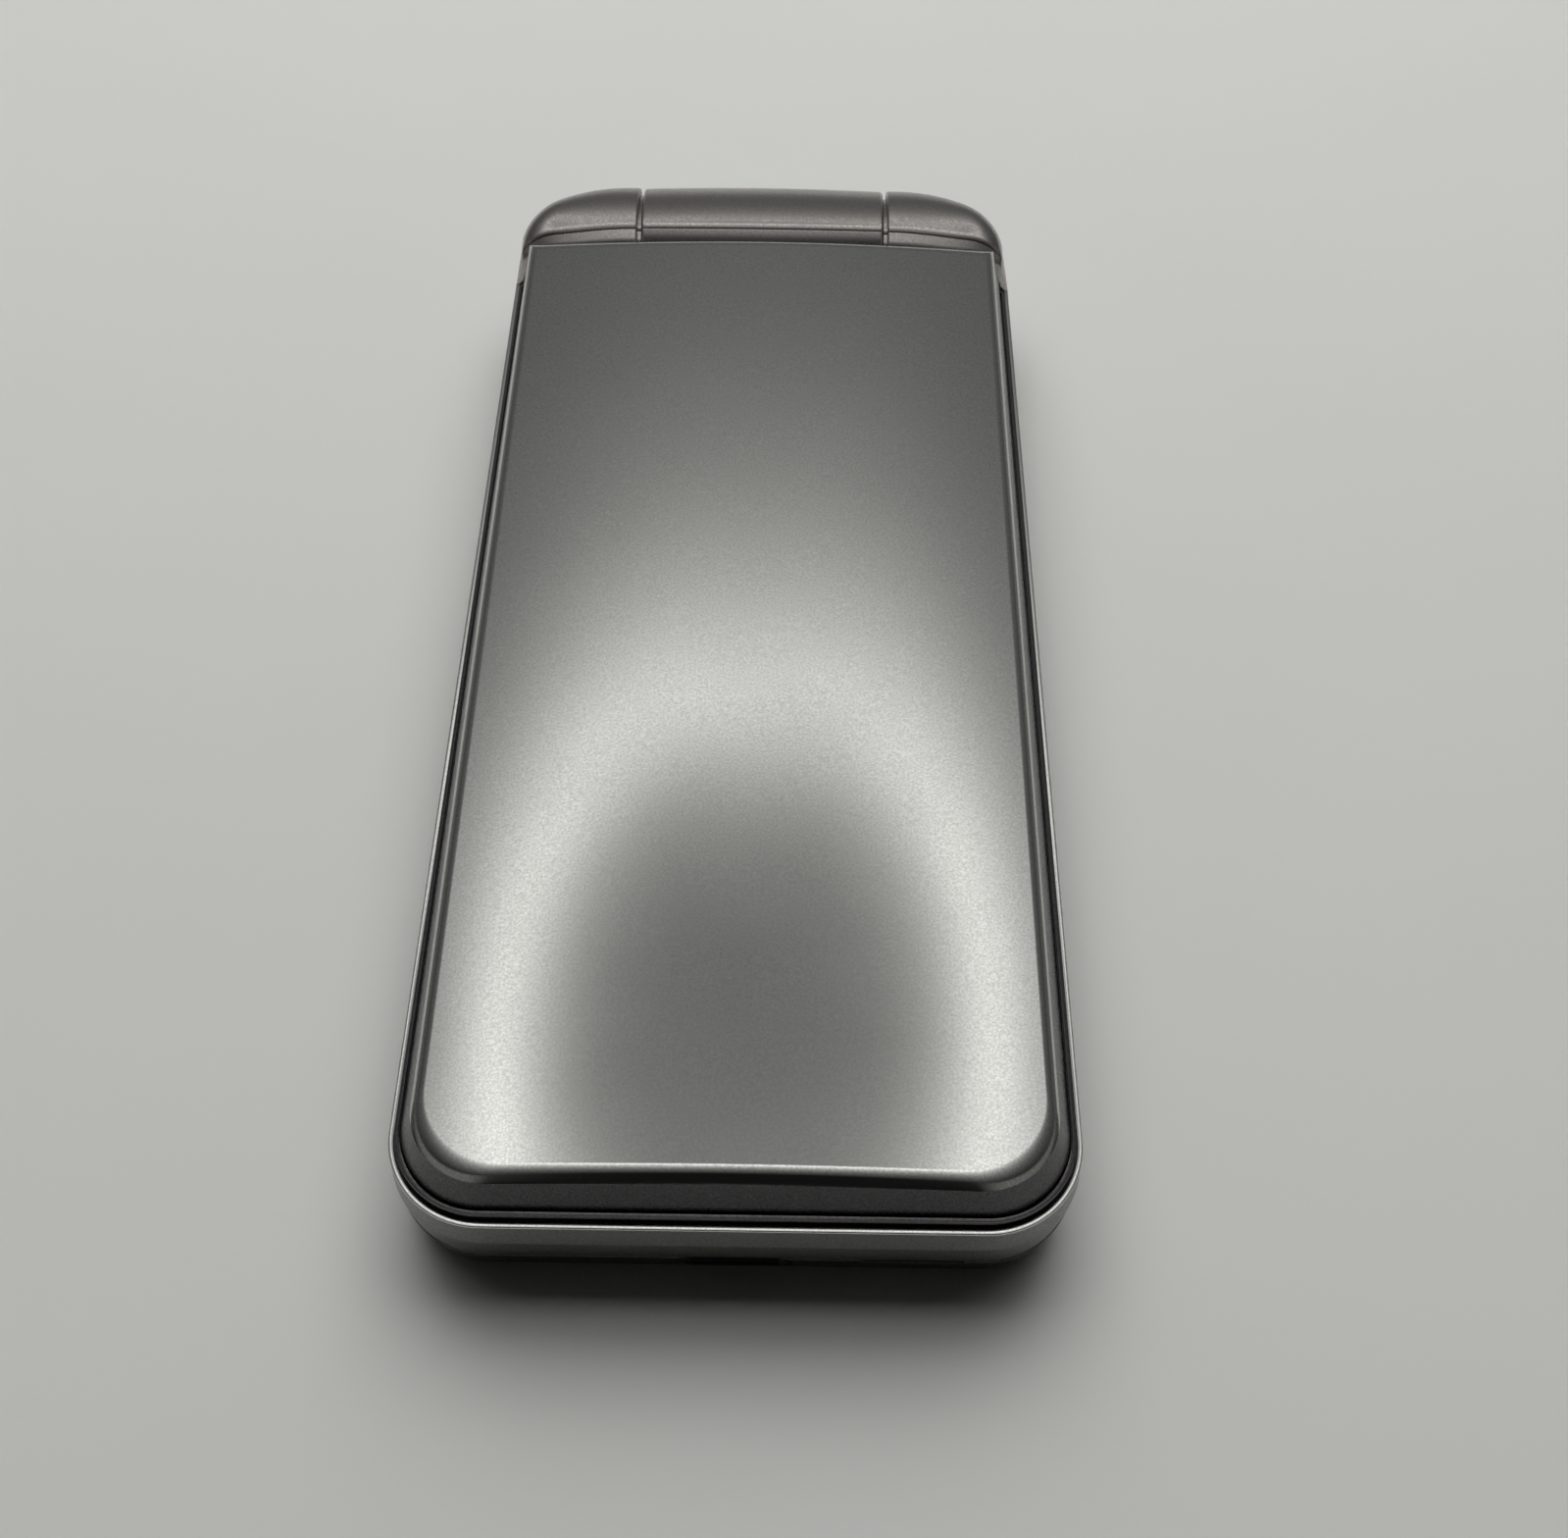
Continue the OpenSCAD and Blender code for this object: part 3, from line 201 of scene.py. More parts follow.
# Flakes in the paint spread the light, so the walls show a soft grey sheen and no mirror image.
case_paint = fine_grain("matte_metallic_grey_paint", "#7a7a7a", "#919190", 0.36, 0.2, 0.003)
side_ys = np.concatenate([np.linspace(45.5, 25.6, 12, endpoint=False), np.arange(25.6, 6.4, -0.12),
                          np.linspace(6.4, -50, 30, endpoint=False)])
path, out = outline(CASE_HALF, CASE_FRONT, CASE_REAR, CASE_FRONT_R, CASE_REAR_R, gap=KNUCKLE_X, left_ys=side_ys)
wall_z = np.concatenate([[PARTING_Z + 0.1, 4.1], np.arange(4.2, 6.45, 0.1), [6.47, 6.53],
                         np.arange(6.6, 7.0, 0.1), np.linspace(7.0, 8.55, 6)])
profile_in = np.concatenate([[1.5, 0.45, 0.33, 0.28], wall_inset(wall_z), [0.13, 0.16, 0.5, 0.56],
                             [PLATE_INSET - 0.15, PLATE_INSET - 0.04, PLATE_INSET, PLATE_INSET]])
profile_z = np.concatenate([[PARTING_Z, PARTING_Z, PARTING_Z + 0.02, PARTING_Z + 0.05], wall_z,
                            [8.8, 8.8, 8.78, LEDGE_Z], [LEDGE_Z, LEDGE_Z - 0.04, LEDGE_Z - 0.15, 7.9]])
case_inset = np.tile(profile_in, (len(path), 1))
on_wall = (profile_z > PARTING_Z + 0.08) & (profile_z < 8.56) & (profile_in < 0.4)
into_slot = slot_distance(path[:, 1:] - VOLUME_Y, profile_z - VOLUME_Z,
                          VOLUME_L + 2 * KEY_GAP, VOLUME_H + 2 * KEY_GAP)
cut = (into_slot < 0) & on_wall & (out[:, :1] < -0.99)
case_inset = np.where(cut, 1.3, case_inset)
band = sweep(path, out, case_inset, profile_z)

# The cradle between the knuckles: a low sill at the rear, and the round pocket that the barrel turns in.
turn = np.radians(np.linspace(-45, -175, 40))
sill_z = np.array([PARTING_Z, 4.2, 4.6, SILL_Z - 0.15, SILL_Z - 0.04, SILL_Z])
sill_y = CASE_REAR - np.concatenate([wall_inset(sill_z[:4]), [0.2, 0.32]])
cradle_y = np.concatenate([sill_y, HINGE_Y + CRADLE_R * np.cos(turn), [44.2, 44.2]])
cradle_z = np.concatenate([sill_z, HINGE_Z + CRADLE_R * np.sin(turn), [RIM_Z, 7.9]])
cradle = np.stack(np.broadcast_arrays(np.array([[KNUCKLE_X], [0], [-KNUCKLE_X]]), cradle_y, cradle_z), axis=2)
case = put_mesh("front_case", "base", [skin(band), skin(cradle)], case_paint)
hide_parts("base_front_case")

# The rim stands up as a narrow lip, cut bright after painting. Its top is almost level along the sides and tilts
# outwards along the opening end, so it draws one thin bright line round the phone.
RIM_WIDE, SIDE_TILT, FRONT_TILT = 0.26, 0.6, 9.0
rim_metal = fine_grain("bright_cut_silver_rim", "#c9c9c7", "#dadad8", 0.2, 0.2, 0.001, spread=0.03)
rim_tilt = SIDE_TILT + (FRONT_TILT - SIDE_TILT) * np.maximum(-out[:, 1:], 0)
outer_z = RIM_Z - RIM_WIDE * np.tan(np.radians(rim_tilt))
lip_z = np.concatenate([np.full_like(outer_z, 8.8), outer_z + [-0.085, -0.042, -0.012, 0.0],
                        np.broadcast_to([RIM_Z, 8.985, 8.94, 8.7], (len(path), 4))], axis=1)
lip = sweep(path, out, np.array([0.13, 0.135, 0.15, 0.18, 0.22, 0.48, 0.52, 0.54, 0.54]), lip_z)
rim = put_mesh("case_rim_edge", "base", [skin(lip)], rim_metal)
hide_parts("base_front_case")


# Hinge ends: at each side a knuckle of the base rises beside the barrel and carries a painted cap, clipped on,
# whose joints show as fine dark lines along the front and low at the back. The outer ends fall to the case.
BAR_FRONT, BAR_Z, BAR_TOP = 45.55, 8.4, 15.52
BARREL_R, EDGE_R, TOP_R, BACK_R = 6.2, 1.6, 10.55, 4.739
EDGE_AT, TOP_AT, BACK_AT = (-2.505, 3.858), (-0.951, -4.956), (1.461, 0.331)
STRIP_END, STRIP_AT, STRIP_R = np.array([-3.62, 4.98]), (-3.664, 3.144), 1.6
CAP_CORNER_X, CAP_CORNER_W, CAP_CORNER_H, CAP_FOOT_X = 20.95, 3.68, 3.0, 25.48
BOSS_X, BOSS_IN = 12.4, 0.8
TILT_FOOT, TILT_STRIP, TILT_EDGE, TILT_TOP, TILT_BACK = 102, 66.5, 40, 10, -24.5
CAP_SEAM, BARREL_SEAM, BACK_SEAM = 0.16, 0.08, 0.3
EASE_ALONG, EASE_IN = np.array([0, 0.02, 0.1, 0.22]), [0.25, 0.1, 0.03, 0.005]
LOWER_FROM, LOWER_OVER, FRONT_LOWER, OUTER_LOWER = 12.5, 9.5, 0.11, 0.1
# A satin paint: the lamp shows in it as one soft bright line along the front edge.
hinge_paint = fine_grain("satin_metallic_warm_grey_paint", "#a39f9d", "#bbb7b4", 0.31, 0.2, 0.003)


def bar_arc(centre, r, start, end, n):
    """Points of an arc: y - r sin t, z + r cos t, where t is the tilt towards the front in degrees."""
    t = np.radians(np.linspace(start, end, n))
    return centre + r * np.stack([-np.sin(t), np.cos(t)], axis=1)


def trench(a, b, depth):
    """A fine seam between two points of a section: in from the first towards the axis, across, and out again."""
    inwards = -a / np.hypot(*a) * depth
    return np.array([a, a + inwards, b + inwards, b])


def bar_section(cap):
    """Section of the hinge bar about its axis, from the front to the back: round up to a strip, a fine seam, a tight
    front edge, a broad top and a tighter back, each an arc that runs on into the next. A cap has a flatter strip and
    ends in a straight wall with a second seam, and the barrel goes round again to where it began."""
    edge = bar_arc(EDGE_AT, EDGE_R, TILT_EDGE, TILT_TOP, 14)
    if cap:
        front = np.concatenate([bar_arc((0, 0), BARREL_R, TILT_FOOT, TILT_STRIP, 10),
                                bar_arc(STRIP_AT, STRIP_R, TILT_STRIP, 28, 10)])
    else:
        front = bar_arc((0, 0), BARREL_R, TILT_FOOT, TILT_EDGE + 1, 16)
    runs = [front, trench(STRIP_END, edge[0], CAP_SEAM if cap else BARREL_SEAM), edge[1:],
            bar_arc(TOP_AT, TOP_R, TILT_TOP, TILT_BACK, 26)[1:]]
    if cap:
        upper = bar_arc(BACK_AT, BACK_R, TILT_BACK, -85.6, 20)[1:]
        lower = bar_arc(BACK_AT, BACK_R, -87.8, -90, 3)
        foot = [[BARREL_R, BARREL_R * math.cos(math.radians(TILT_FOOT))]]
        runs += [upper[:-1], trench(upper[-1], lower[0], BACK_SEAM), lower[1:], foot]
    else:
        runs += [bar_arc(BACK_AT, BACK_R, TILT_BACK, -90, 22)[1:],
                 bar_arc((0, 0), BARREL_R, -94, TILT_FOOT - 360, 60)]
    return np.concatenate(runs).T


def towards_axis(y, z, depth):
    """Moves points towards the hinge axis by a depth in mm, and no further than the axis."""
    far = np.maximum(np.hypot(y - HINGE_Y, z - HINGE_Z), 1e-6)
    keep = np.maximum(1 - depth / far, 0)
    return HINGE_Y + (y - HINGE_Y) * keep, HINGE_Z + (z - HINGE_Z) * keep


def hinge_end(side):
    """The bar's section stretched along x: its depth follows the case's corner, its height runs level, over a corner
    ellipse and down a leaning end, and its front is 11 percent lower than its back, and more so towards the outer end.
    The inner end has an eased edge and a smaller boss that fills the gap to the barrel."""
    fall = np.radians(np.linspace(90, 0, 26))
    low = np.linspace(0, 1, 18)[1:]
    lean_x, lean_z = CAP_CORNER_X + CAP_CORNER_W, BAR_TOP - CAP_CORNER_H
    level_x = np.concatenate([[BOSS_X, BOSS_X, KNUCKLE_X], KNUCKLE_X + EASE_ALONG,
                              np.linspace(KNUCKLE_X + 0.35, CAP_CORNER_X, 22, endpoint=False)])
    x = np.concatenate([level_x, CAP_CORNER_X + CAP_CORNER_W * np.cos(fall), lean_x + (CAP_FOOT_X - lean_x) * low])
    top = np.concatenate([np.full(len(level_x), BAR_TOP), lean_z + CAP_CORNER_H * np.sin(fall),
                          lean_z + (BAR_Z + 0.01 - lean_z) * low])
    ease = np.zeros(len(x))
    ease[:7] = [BOSS_IN, BOSS_IN, BOSS_IN, *EASE_IN]
    past = np.maximum(x - (CASE_HALF - CASE_REAR_R), 0)
    rear = CASE_REAR - CASE_REAR_R + np.sqrt(CASE_REAR_R ** 2 - past ** 2) - 0.02
    half, middle = (rear - BAR_FRONT) / 2, (rear + BAR_FRONT) / 2
    reach, height = bar_section(True)
    outer = np.clip((x - LOWER_FROM) / LOWER_OVER, 0, 1)
    lower = FRONT_LOWER + OUTER_LOWER * outer ** 2 * (3 - 2 * outer)
    share = (height - height[0]) / (height.max() - height[0]) * (1 - lower[:, None] * (1 - reach / BARREL_R) / 2)
    y = middle[:, None] + half[:, None] * reach / BARREL_R
    z = BAR_Z + (top - BAR_Z)[:, None] * share
    y, z = towards_axis(y, z, ease[:, None])
    y[0], z[0] = HINGE_Y, HINGE_Z - 1
    grid = np.stack([side * np.broadcast_to(x[:, None], y.shape), y, z], axis=2)
    return grid if side > 0 else grid[::-1]


for side, node in ((-1, "hinge_cap_left"), (1, "hinge_cap_right")):
    grid = hinge_end(side)
    end = put_mesh(node.replace("cap", "end"), "base", [skin(grid)], hinge_paint)
    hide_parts(node)


# Rear cover: the pan clipped over the back, ABS sprayed a darker grey than the case, a grey that is partly its own and
# partly painted shade from the overhanging case. Its wall curves under to a foot, and at the opening end it has the
# mouth of the charging socket and a slot for a fingernail to pry it off.
FOOT_R, FOOT_TURN = 1.7, 70.9
COVER_TOP, HOLE_EASE = PARTING_Z - 0.012, 0.1
MOUTH_Z, MOUTH_W, MOUTH_H, MOUTH_DEEP = 2.57, 8.44, 2.66, 1.9
PRY_X, PRY_W, PRY_H, PRY_DEEP = 13.1, 7.5, 0.7, 0.8
CAMERA_XY, CAMERA_R = (-11.5, 33.7), 4.05
SPEAKER_XY, SLOT_L, SLOT_H, SLOT_PITCH = (12.5, 33.7), 10.0, 0.8, 1.8


def inside(loop, xy):
    """Which points lie in a closed loop: a ray towards +x crosses its edges an odd number of times."""
    a, b = loop[None], np.roll(loop, -1, axis=0)[None]
    x, y = xy[:, :1], xy[:, 1:]
    spans = (a[..., 1] > y) != (b[..., 1] > y)
    rise = np.where(b[..., 1] == a[..., 1], 1, b[..., 1] - a[..., 1])
    return (spans & (x < a[..., 0] + (y - a[..., 1]) * (b[..., 0] - a[..., 0]) / rise)).sum(axis=1) % 2 == 1


def plate(loop, holes, z, facing):
    """A flat face at height z between an outer loop and the loops of its holes, cut into triangles between them."""
    loops = [loop, *holes]
    xy = np.concatenate(loops)
    starts = np.cumsum([0] + [len(l) for l in loops])
    edges = np.concatenate([np.stack([np.arange(len(l)), np.roll(np.arange(len(l)), -1)], axis=1) + s
                            for l, s in zip(loops, starts)])
    cut = geometry.delaunay_2d_cdt([Vector(p) for p in xy.tolist()], edges.tolist(), [], 1, 1e-7)
    points = np.array([tuple(p) for p in cut[0]])
    faces = np.array(cut[2])
    centre = points[faces].mean(axis=1)
    keep = inside(loop, centre)
    for hole in holes:
        keep &= ~inside(hole, centre)
    corners = points[faces]
    a, b = corners[:, 1] - corners[:, 0], corners[:, 2] - corners[:, 0]
    wrong_way = (a[:, 0] * b[:, 1] - a[:, 1] * b[:, 0]) * facing < 0
    faces = np.where(wrong_way[:, None], faces[:, ::-1], faces)[keep]
    return np.concatenate([points, np.full((len(points), 1), z)], axis=1), faces


def slot_loop(x, y, length, height, arc=14):
    """A round-ended slot's loop, counter-clockwise: two half circles at the ends of its middle line."""
    a = np.radians(np.concatenate([np.linspace(-90, 90, arc), np.linspace(90, 270, arc)]))
    end = np.concatenate([np.full(arc, 1.0), np.full(arc, -1.0)]) * (length - height) / 2
    out = np.stack([np.cos(a), np.sin(a)], axis=1)
    return np.stack([x + end, np.full(2 * arc, y)], axis=1) + out * (height / 2), out


def hole_wall(loop, out, z, depth, up):
    """The wall of a hole in a flat face: an eased lip that starts HOLE_EASE outside the loop, then straight in."""
    step = HOLE_EASE * np.array([-1, -0.4, -0.1, 0, 0])
    rise = up * np.array([0, 0.1 * HOLE_EASE, 0.4 * HOLE_EASE, HOLE_EASE, depth])
    wall = sweep(loop, out, step, z + rise)
    faces = quads(*wall.shape[:2], around=True)
    return wall, faces[:, ::-1] if up > 0 else faces


def pierced(loop, holes, z, up=1):
    """A flat face at height z with holes, each a loop, its normals and a depth: the plate between them and their walls,
    which go up or down from a face that looks the other way."""
    face = plate(loop, [path + out * HOLE_EASE for path, out, _ in holes], z, -up)
    return [face] + [hole_wall(path, out, z, depth, up) for path, out, depth in holes]


# Matte and dark: the dark grey is partly painted shade, so that the base reads as one shadowed foot under the case.
cover_paint_and_shade = fine_grain("matte_grey_back_paint_and_painted_shade", "#545454", "#656564", 0.36, 0.2, 0.003)
front_xs = np.unique(np.concatenate([np.linspace(-18, 18, 25), np.arange(-4.8, 4.85, 0.1), np.linspace(9, 17.2, 30),
                                     [9.34, 9.36, 16.84, 16.86]]))[:-1]
path, out = outline(CASE_HALF, CASE_FRONT, CASE_REAR, CASE_FRONT_R, CASE_REAR_R, front_xs=front_xs)
turn = np.radians(np.linspace(0, FOOT_TURN, 16))
foot_z = FOOT_R * (1 - np.cos(turn))
foot_in = wall_inset(foot_z[-1]) + FOOT_R * (np.sin(turn[-1]) - np.sin(turn))
flank_z = np.concatenate([np.arange(1.2, 3.05, 0.1), [3.1, 3.21], np.arange(3.3, 3.85, 0.1)])
profile_in = np.concatenate([foot_in, wall_inset(flank_z), wall_inset(PARTING_Z) + [-0.05, -0.04, -0.01, 0.12, 1.3]])
profile_z = np.concatenate([foot_z, flank_z, PARTING_Z - np.array([0.09, 0.05, 0.03]), [COVER_TOP, COVER_TOP]])
on_front = out[:, 1:] < -0.99
into_mouth = slot_distance(path[:, :1], profile_z - MOUTH_Z, MOUTH_W + 0.1, MOUTH_H + 0.1)
into_pry = np.maximum(np.abs(path[:, :1] - PRY_X) - PRY_W / 2, PARTING_Z - PRY_H - profile_z)
cover_in = np.where(on_front & (into_mouth < 0), MOUTH_DEEP, profile_in)
cover_in = np.where(on_front & (into_pry < 0) & (profile_in < PRY_DEEP), PRY_DEEP, cover_in)
pan = sweep(path, out, cover_in, profile_z)

# The mouth's bevel is its own crisp loop: from the wall, over an eased edge, into the opening.
mouth, mouth_out = slot_loop(0, MOUTH_Z, MOUTH_W, MOUTH_H, arc=24)
grow = np.array([0.2, 0.19, 0.16, 0.02, 0.0, 0.0])
sunk = np.array([0.05, -0.015, 0.0, 0.5, 0.6, 1.6])
mouth_lip = mouth[:, None] + mouth_out[:, None] * grow[:, None]
mouth_z = np.minimum(mouth_lip[..., 1], COVER_TOP)
bevel = np.stack([mouth_lip[..., 0], CASE_FRONT + wall_inset(mouth_z) + sunk, mouth_z], axis=2)

# The flat back, with the round recess of the camera and the slots of the speaker.
camera_loop, camera_out = slot_loop(*CAMERA_XY, 2 * CAMERA_R, 2 * CAMERA_R, arc=32)
slot_ys = SPEAKER_XY[1] + SLOT_PITCH * np.arange(-2, 3)
speaker_loops = [slot_loop(SPEAKER_XY[0], y, SLOT_L, SLOT_H) for y in slot_ys]
holes = [(camera_loop, camera_out, 0.5)] + [(l, o, 0.9) for l, o in speaker_loops]
parts = [skin(pan, around=True), skin(bevel, around=True)] + pierced(pan[:, 0, :2], holes, 0.0)
rear_cover = put_mesh("rear_cover_pan", "base", parts, cover_paint_and_shade)
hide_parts("rear_cover")


# Hinge barrel: the lid's own segment of the hinge bar, a slightly bulged ABS tube with eased ends, carried by the
# bridge of the lid frame and sprayed like the caps. A fine seam along its front lines up with theirs.
BARREL_BULGE, BARREL_HALF, BARREL_EASE = 0.25, 12.35, 0.3
end_turn = np.radians(np.linspace(0, 90, 8))
near_end = BARREL_HALF - BARREL_EASE * (1 - np.sin(end_turn))
along = np.linspace(-11.9, 11.9, 41)
barrel_x = np.concatenate([[-BARREL_HALF], -near_end[::-1], along, near_end, [BARREL_HALF]])
end_drop = BARREL_EASE * (1 - np.cos(end_turn))
drop = np.concatenate([[BARREL_R], end_drop[::-1], np.zeros_like(along), end_drop, [BARREL_R]])
bulge = 1 - BARREL_BULGE / BARREL_R * (barrel_x / BARREL_HALF) ** 2
reach, height = bar_section(False)
barrel_y, barrel_z = towards_axis(HINGE_Y + bulge[:, None] * reach, HINGE_Z + bulge[:, None] * height, drop[:, None])
barrel = np.stack([np.broadcast_to(barrel_x[:, None], barrel_y.shape), barrel_y, barrel_z], axis=2)
barrel_piece = put_mesh("hinge_barrel_tube", "lid", [skin(barrel)], hinge_paint)
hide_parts("hinge_barrel")


# Lid frame: the inner half of the lid, moulded in ABS and sprayed dark grey. Its flange shows as a thin line round
# the closed lid, its inner face holds the display window, and a bridge at the rear carries the barrel.
FLANGE_HALF, FLANGE_FRONT, FLANGE_REAR, FLANGE_R = 24.8, -56.8, 44.8, 6.8
LID_Z, COVER_Z = 9.3, 9.9
BRIDGE_HALF, BRIDGE_LOW, BRIDGE_TOP = 12.3, LID_Z + 0.05, 13.1
WINDOW_GAP, WINDOW_R, EAR_L, EAR_H = 0.15, 1.65, 7.0, 1.2
STOP_R, POCKET_R = 1.65, 1.7
# Dark and matte, a quiet border round the bright lid.
frame_paint = fine_grain("matte_dark_metallic_grey_paint", "#6b696a", "#817f80", 0.34, 0.2, 0.003)
path, out = outline(FLANGE_HALF, FLANGE_FRONT, FLANGE_REAR, FLANGE_R, 0.8)
flange = sweep(path, out, np.array([0.6, 0.12, 0.03, 0, 0, 0.015, 0.04, 0.26, 0.28, 0.28, 1.4]),
               np.array([9.3, 9.3, 9.33, 9.42, 9.79, 9.835, 9.853, 9.888, 9.875, 9.5, 9.5]))
(_, window_y0, _), (window_x1, window_y1, _) = np.array(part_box("display_window")) / MM
window_path, window_out = outline(window_x1 + WINDOW_GAP, window_y0 - WINDOW_GAP, window_y1 + WINDOW_GAP,
                                  WINDOW_R, WINDOW_R, step=6, arc=12)
ear_y = np.array(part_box("earpiece"))[:, 1].mean() / MM
ear_loop, ear_out = slot_loop(0, ear_y, EAR_L, EAR_H)
stop_x = np.array(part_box("lid_bumpers"))[1, 0] / MM - STOP_R
stop_y = np.array(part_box("lid_bumpers"))[:, 1].mean() / MM
plug_y = np.array(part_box("screw_caps"))[:, 1].mean() / MM
pockets = [slot_loop(x, y, 2 * POCKET_R, 2 * POCKET_R, arc=20) for x in (-stop_x, stop_x) for y in (stop_y, plug_y)]
holes = [(window_path, window_out, 0.9), (ear_loop, ear_out, 0.7)] + [(l, o, 0.75) for l, o in pockets]
bridge_y = np.array([44.0, 46.6, 46.9, 47.3, 47.3, 44.0, 44.0])
bridge_z = np.array([BRIDGE_TOP, BRIDGE_TOP, BRIDGE_TOP - 0.1, BRIDGE_TOP - 0.5, BRIDGE_LOW, BRIDGE_LOW, BRIDGE_TOP])
bridge = np.stack(np.broadcast_arrays(np.array([[-BRIDGE_HALF], [0], [BRIDGE_HALF]]), bridge_y, bridge_z), axis=2)
parts = [skin(flange, around=True), skin(bridge)] + pierced(flange[:, 0, :2], holes, LID_Z)
lid_frame = put_mesh("lid_inner_frame", "lid", parts, frame_paint)
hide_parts("lid_frame")


# Lid cover: the outer half of the lid, ABS sprayed with a fine silver metallic under clear coat. It is crowned across
# its width, rolls over to a dark shoulder at the opening end and slopes off towards the hinge.
COVER_HALF, COVER_FRONT, COVER_REAR, COVER_R = 24.5, -56.5, 44.8, 6.5
CROWN_Z, CROWN_SAG, TAPER, SHOULDER_H = 16.4, 500.0, 2.3 / 102.3, 2.4
SIDE_DRAFT, FRONT_DRAFT, CREASE_TURN = 0.9, 0.1, 44.0
SHOULDER_SIDE, SHOULDER_FRONT, REAR_SLOPE = 1.3, 1.8, 1.8
ROLL_STEPS = 32
# Smooth enough to mirror the lamp as a soft ring, with a fine sparkle in it.
lid_paint = fine_grain("satin_metallic_silver_paint", "#b3b4b1", "#c7c8c5", 0.15, 0.18, 0.0007, spread=0.018)


def crown(x, y):
    """Height of the lid's top: it falls evenly towards the opening end, and by x² / CROWN_SAG to the sides."""
    return CROWN_Z - TAPER * (COVER_REAR - y) - x ** 2 / CROWN_SAG


def lid_levels(lean, turn, edge):
    """Rings of the lid, one row per level: the plan's half width, front, rear and corner shrink with the lean of the
    walls and, over the shoulder, by 1 - cos(turn); the height goes on from the shoulder by sin(turn) to the crown."""
    roll, lift = 1 - np.cos(turn), np.sin(turn)
    half = COVER_HALF - SIDE_DRAFT * lean - SHOULDER_SIDE * roll - edge
    front = COVER_FRONT + FRONT_DRAFT * lean + SHOULDER_FRONT * roll + edge
    rear = COVER_REAR - REAR_SLOPE * roll - edge
    r = COVER_R - SIDE_DRAFT / 2 * lean
    a = np.radians(np.linspace(0, 90, 33))[1:]
    down = np.linspace(0, 1, 57)
    side_y = np.concatenate([rear[:, None] + (front + r - rear)[:, None] * down,
                             (front + r)[:, None] - r[:, None] * np.sin(a)], axis=1)
    side_x = np.concatenate([half[:, None].repeat(len(down), 1),
                             half[:, None] - r[:, None] * (1 - np.cos(a))], axis=1)
    across = np.linspace(-1, 1, 65)[1:-1]
    x = np.concatenate([-side_x, side_x[:, -1:] * across, side_x[:, ::-1], side_x[:, :1] * -across], axis=1)
    y = np.concatenate([side_y, side_y[:, -1:].repeat(len(across), 1),
                        side_y[:, ::-1], side_y[:, :1].repeat(len(across), 1)], axis=1)
    low = COVER_Z + (crown(0, y) - SHOULDER_H - COVER_Z) * lean[:, None]
    z = low + (crown(x, y) - low) * lift[:, None]
    return np.stack([x, y, z], axis=2), side_x[-1], side_y[-1]


# The wall is straight from its foot, sunk in a shadow gap behind the flange, up to a crisp crease, and the shoulder
# rolls over from there.
lean = np.concatenate([[-0.09, -0.09, -0.08], np.ones(ROLL_STEPS)])
turn = np.radians(np.concatenate([[0, 0, 0], np.linspace(CREASE_TURN, 90, ROLL_STEPS)]))
edge = np.concatenate([[1.2, 0.18, 0.12], np.zeros(ROLL_STEPS)])
rings, top_x, top_y = lid_levels(lean, turn, edge)
wall = rings[2] + (rings[3] - rings[2]) * np.linspace(0, 1, 10)[1:-1, None, None]
band = np.concatenate([rings[:3], wall, rings[3:4]]).transpose(1, 0, 2)
shell = rings[3:].transpose(1, 0, 2)
top_grid_x = top_x[:, None] * np.linspace(1, -1, 65)
top = np.stack(np.broadcast_arrays(top_grid_x, top_y[:, None], crown(top_grid_x, top_y[:, None])), axis=2)
lid_cover = put_mesh("lid_cover_shell", "lid", [skin(shell, around=True), skin(top)], lid_paint, sharp=50)
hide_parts("lid_cover")
# Under the crease the wall is painted darker as painted shade: the dark grey stands in for the shadowed floor that the
# wall mirrors, and reads as a dark band round the lid.
wall_paint_with_shade = fine_grain("satin_grey_paint_with_painted_shade", "#464647", "#565657", 0.28, 0.18, 0.002)
lid_band = put_mesh("lid_cover_wall", "lid", [skin(band, around=True)], wall_paint_with_shade)
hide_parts("lid_cover")


# Keypad plate: a thin ABS deck set inside the rim, sprayed grey, with an eased well for each key and a pinhole
# over the microphone. It drops in from above and is held by the ledge of the front case.
KEY_LIP, KEY_R = 0.5, 1.2
NAV_R = 9.6
# A step darker and duller than the keys, so that they stand out.
deck_paint = fine_grain("matte_metallic_deck_paint", "#a2a3a7", "#bcbdc1", 0.4, 0.2, 0.004)
pad_keys = [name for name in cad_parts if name.startswith(("key_", "soft_key_"))]


def key_loop(name, grow=0.0):
    """A key's outline, outward normals and middle: its packed box less the lip under the plate, let out by grow."""
    low, high = np.array(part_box(name)) / MM
    middle, half = (low + high) / 2, (high - low) / 2 - KEY_LIP + grow
    path, out = outline(half[0], -half[1], half[1], KEY_R + grow, KEY_R + grow, step=1.6, arc=9)
    return path + middle[:2], out, middle


(_, plate_front, plate_low), (plate_half, plate_rear, plate_top) = np.array(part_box("keypad_plate")) / MM
nav_y = np.array(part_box("nav_ring"))[:, 1].mean() / MM
pin_y = np.array(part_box("microphone"))[:, 1].mean() / MM
path, out = outline(plate_half, plate_front, plate_rear, CASE_FRONT_R - PLATE_INSET, 1.0)
border = sweep(path, out, np.array([0.3, 0, 0, 0.03, 0.1]),
               np.array([plate_low, plate_low, plate_top - 0.1, plate_top - 0.03, plate_top]))
wells = [key_loop(name, KEY_GAP)[:2] for name in pad_keys]
wells += [slot_loop(0, nav_y, 2 * (NAV_R + KEY_GAP), 2 * (NAV_R + KEY_GAP), arc=40), slot_loop(0, pin_y, 1.2, 1.2)]
parts = [skin(border, around=True)] + pierced(border[:, -1, :2], [(*well, 0.75) for well in wells], plate_top, up=-1)
deck_piece = put_mesh("keypad_deck", "base", parts, deck_paint)
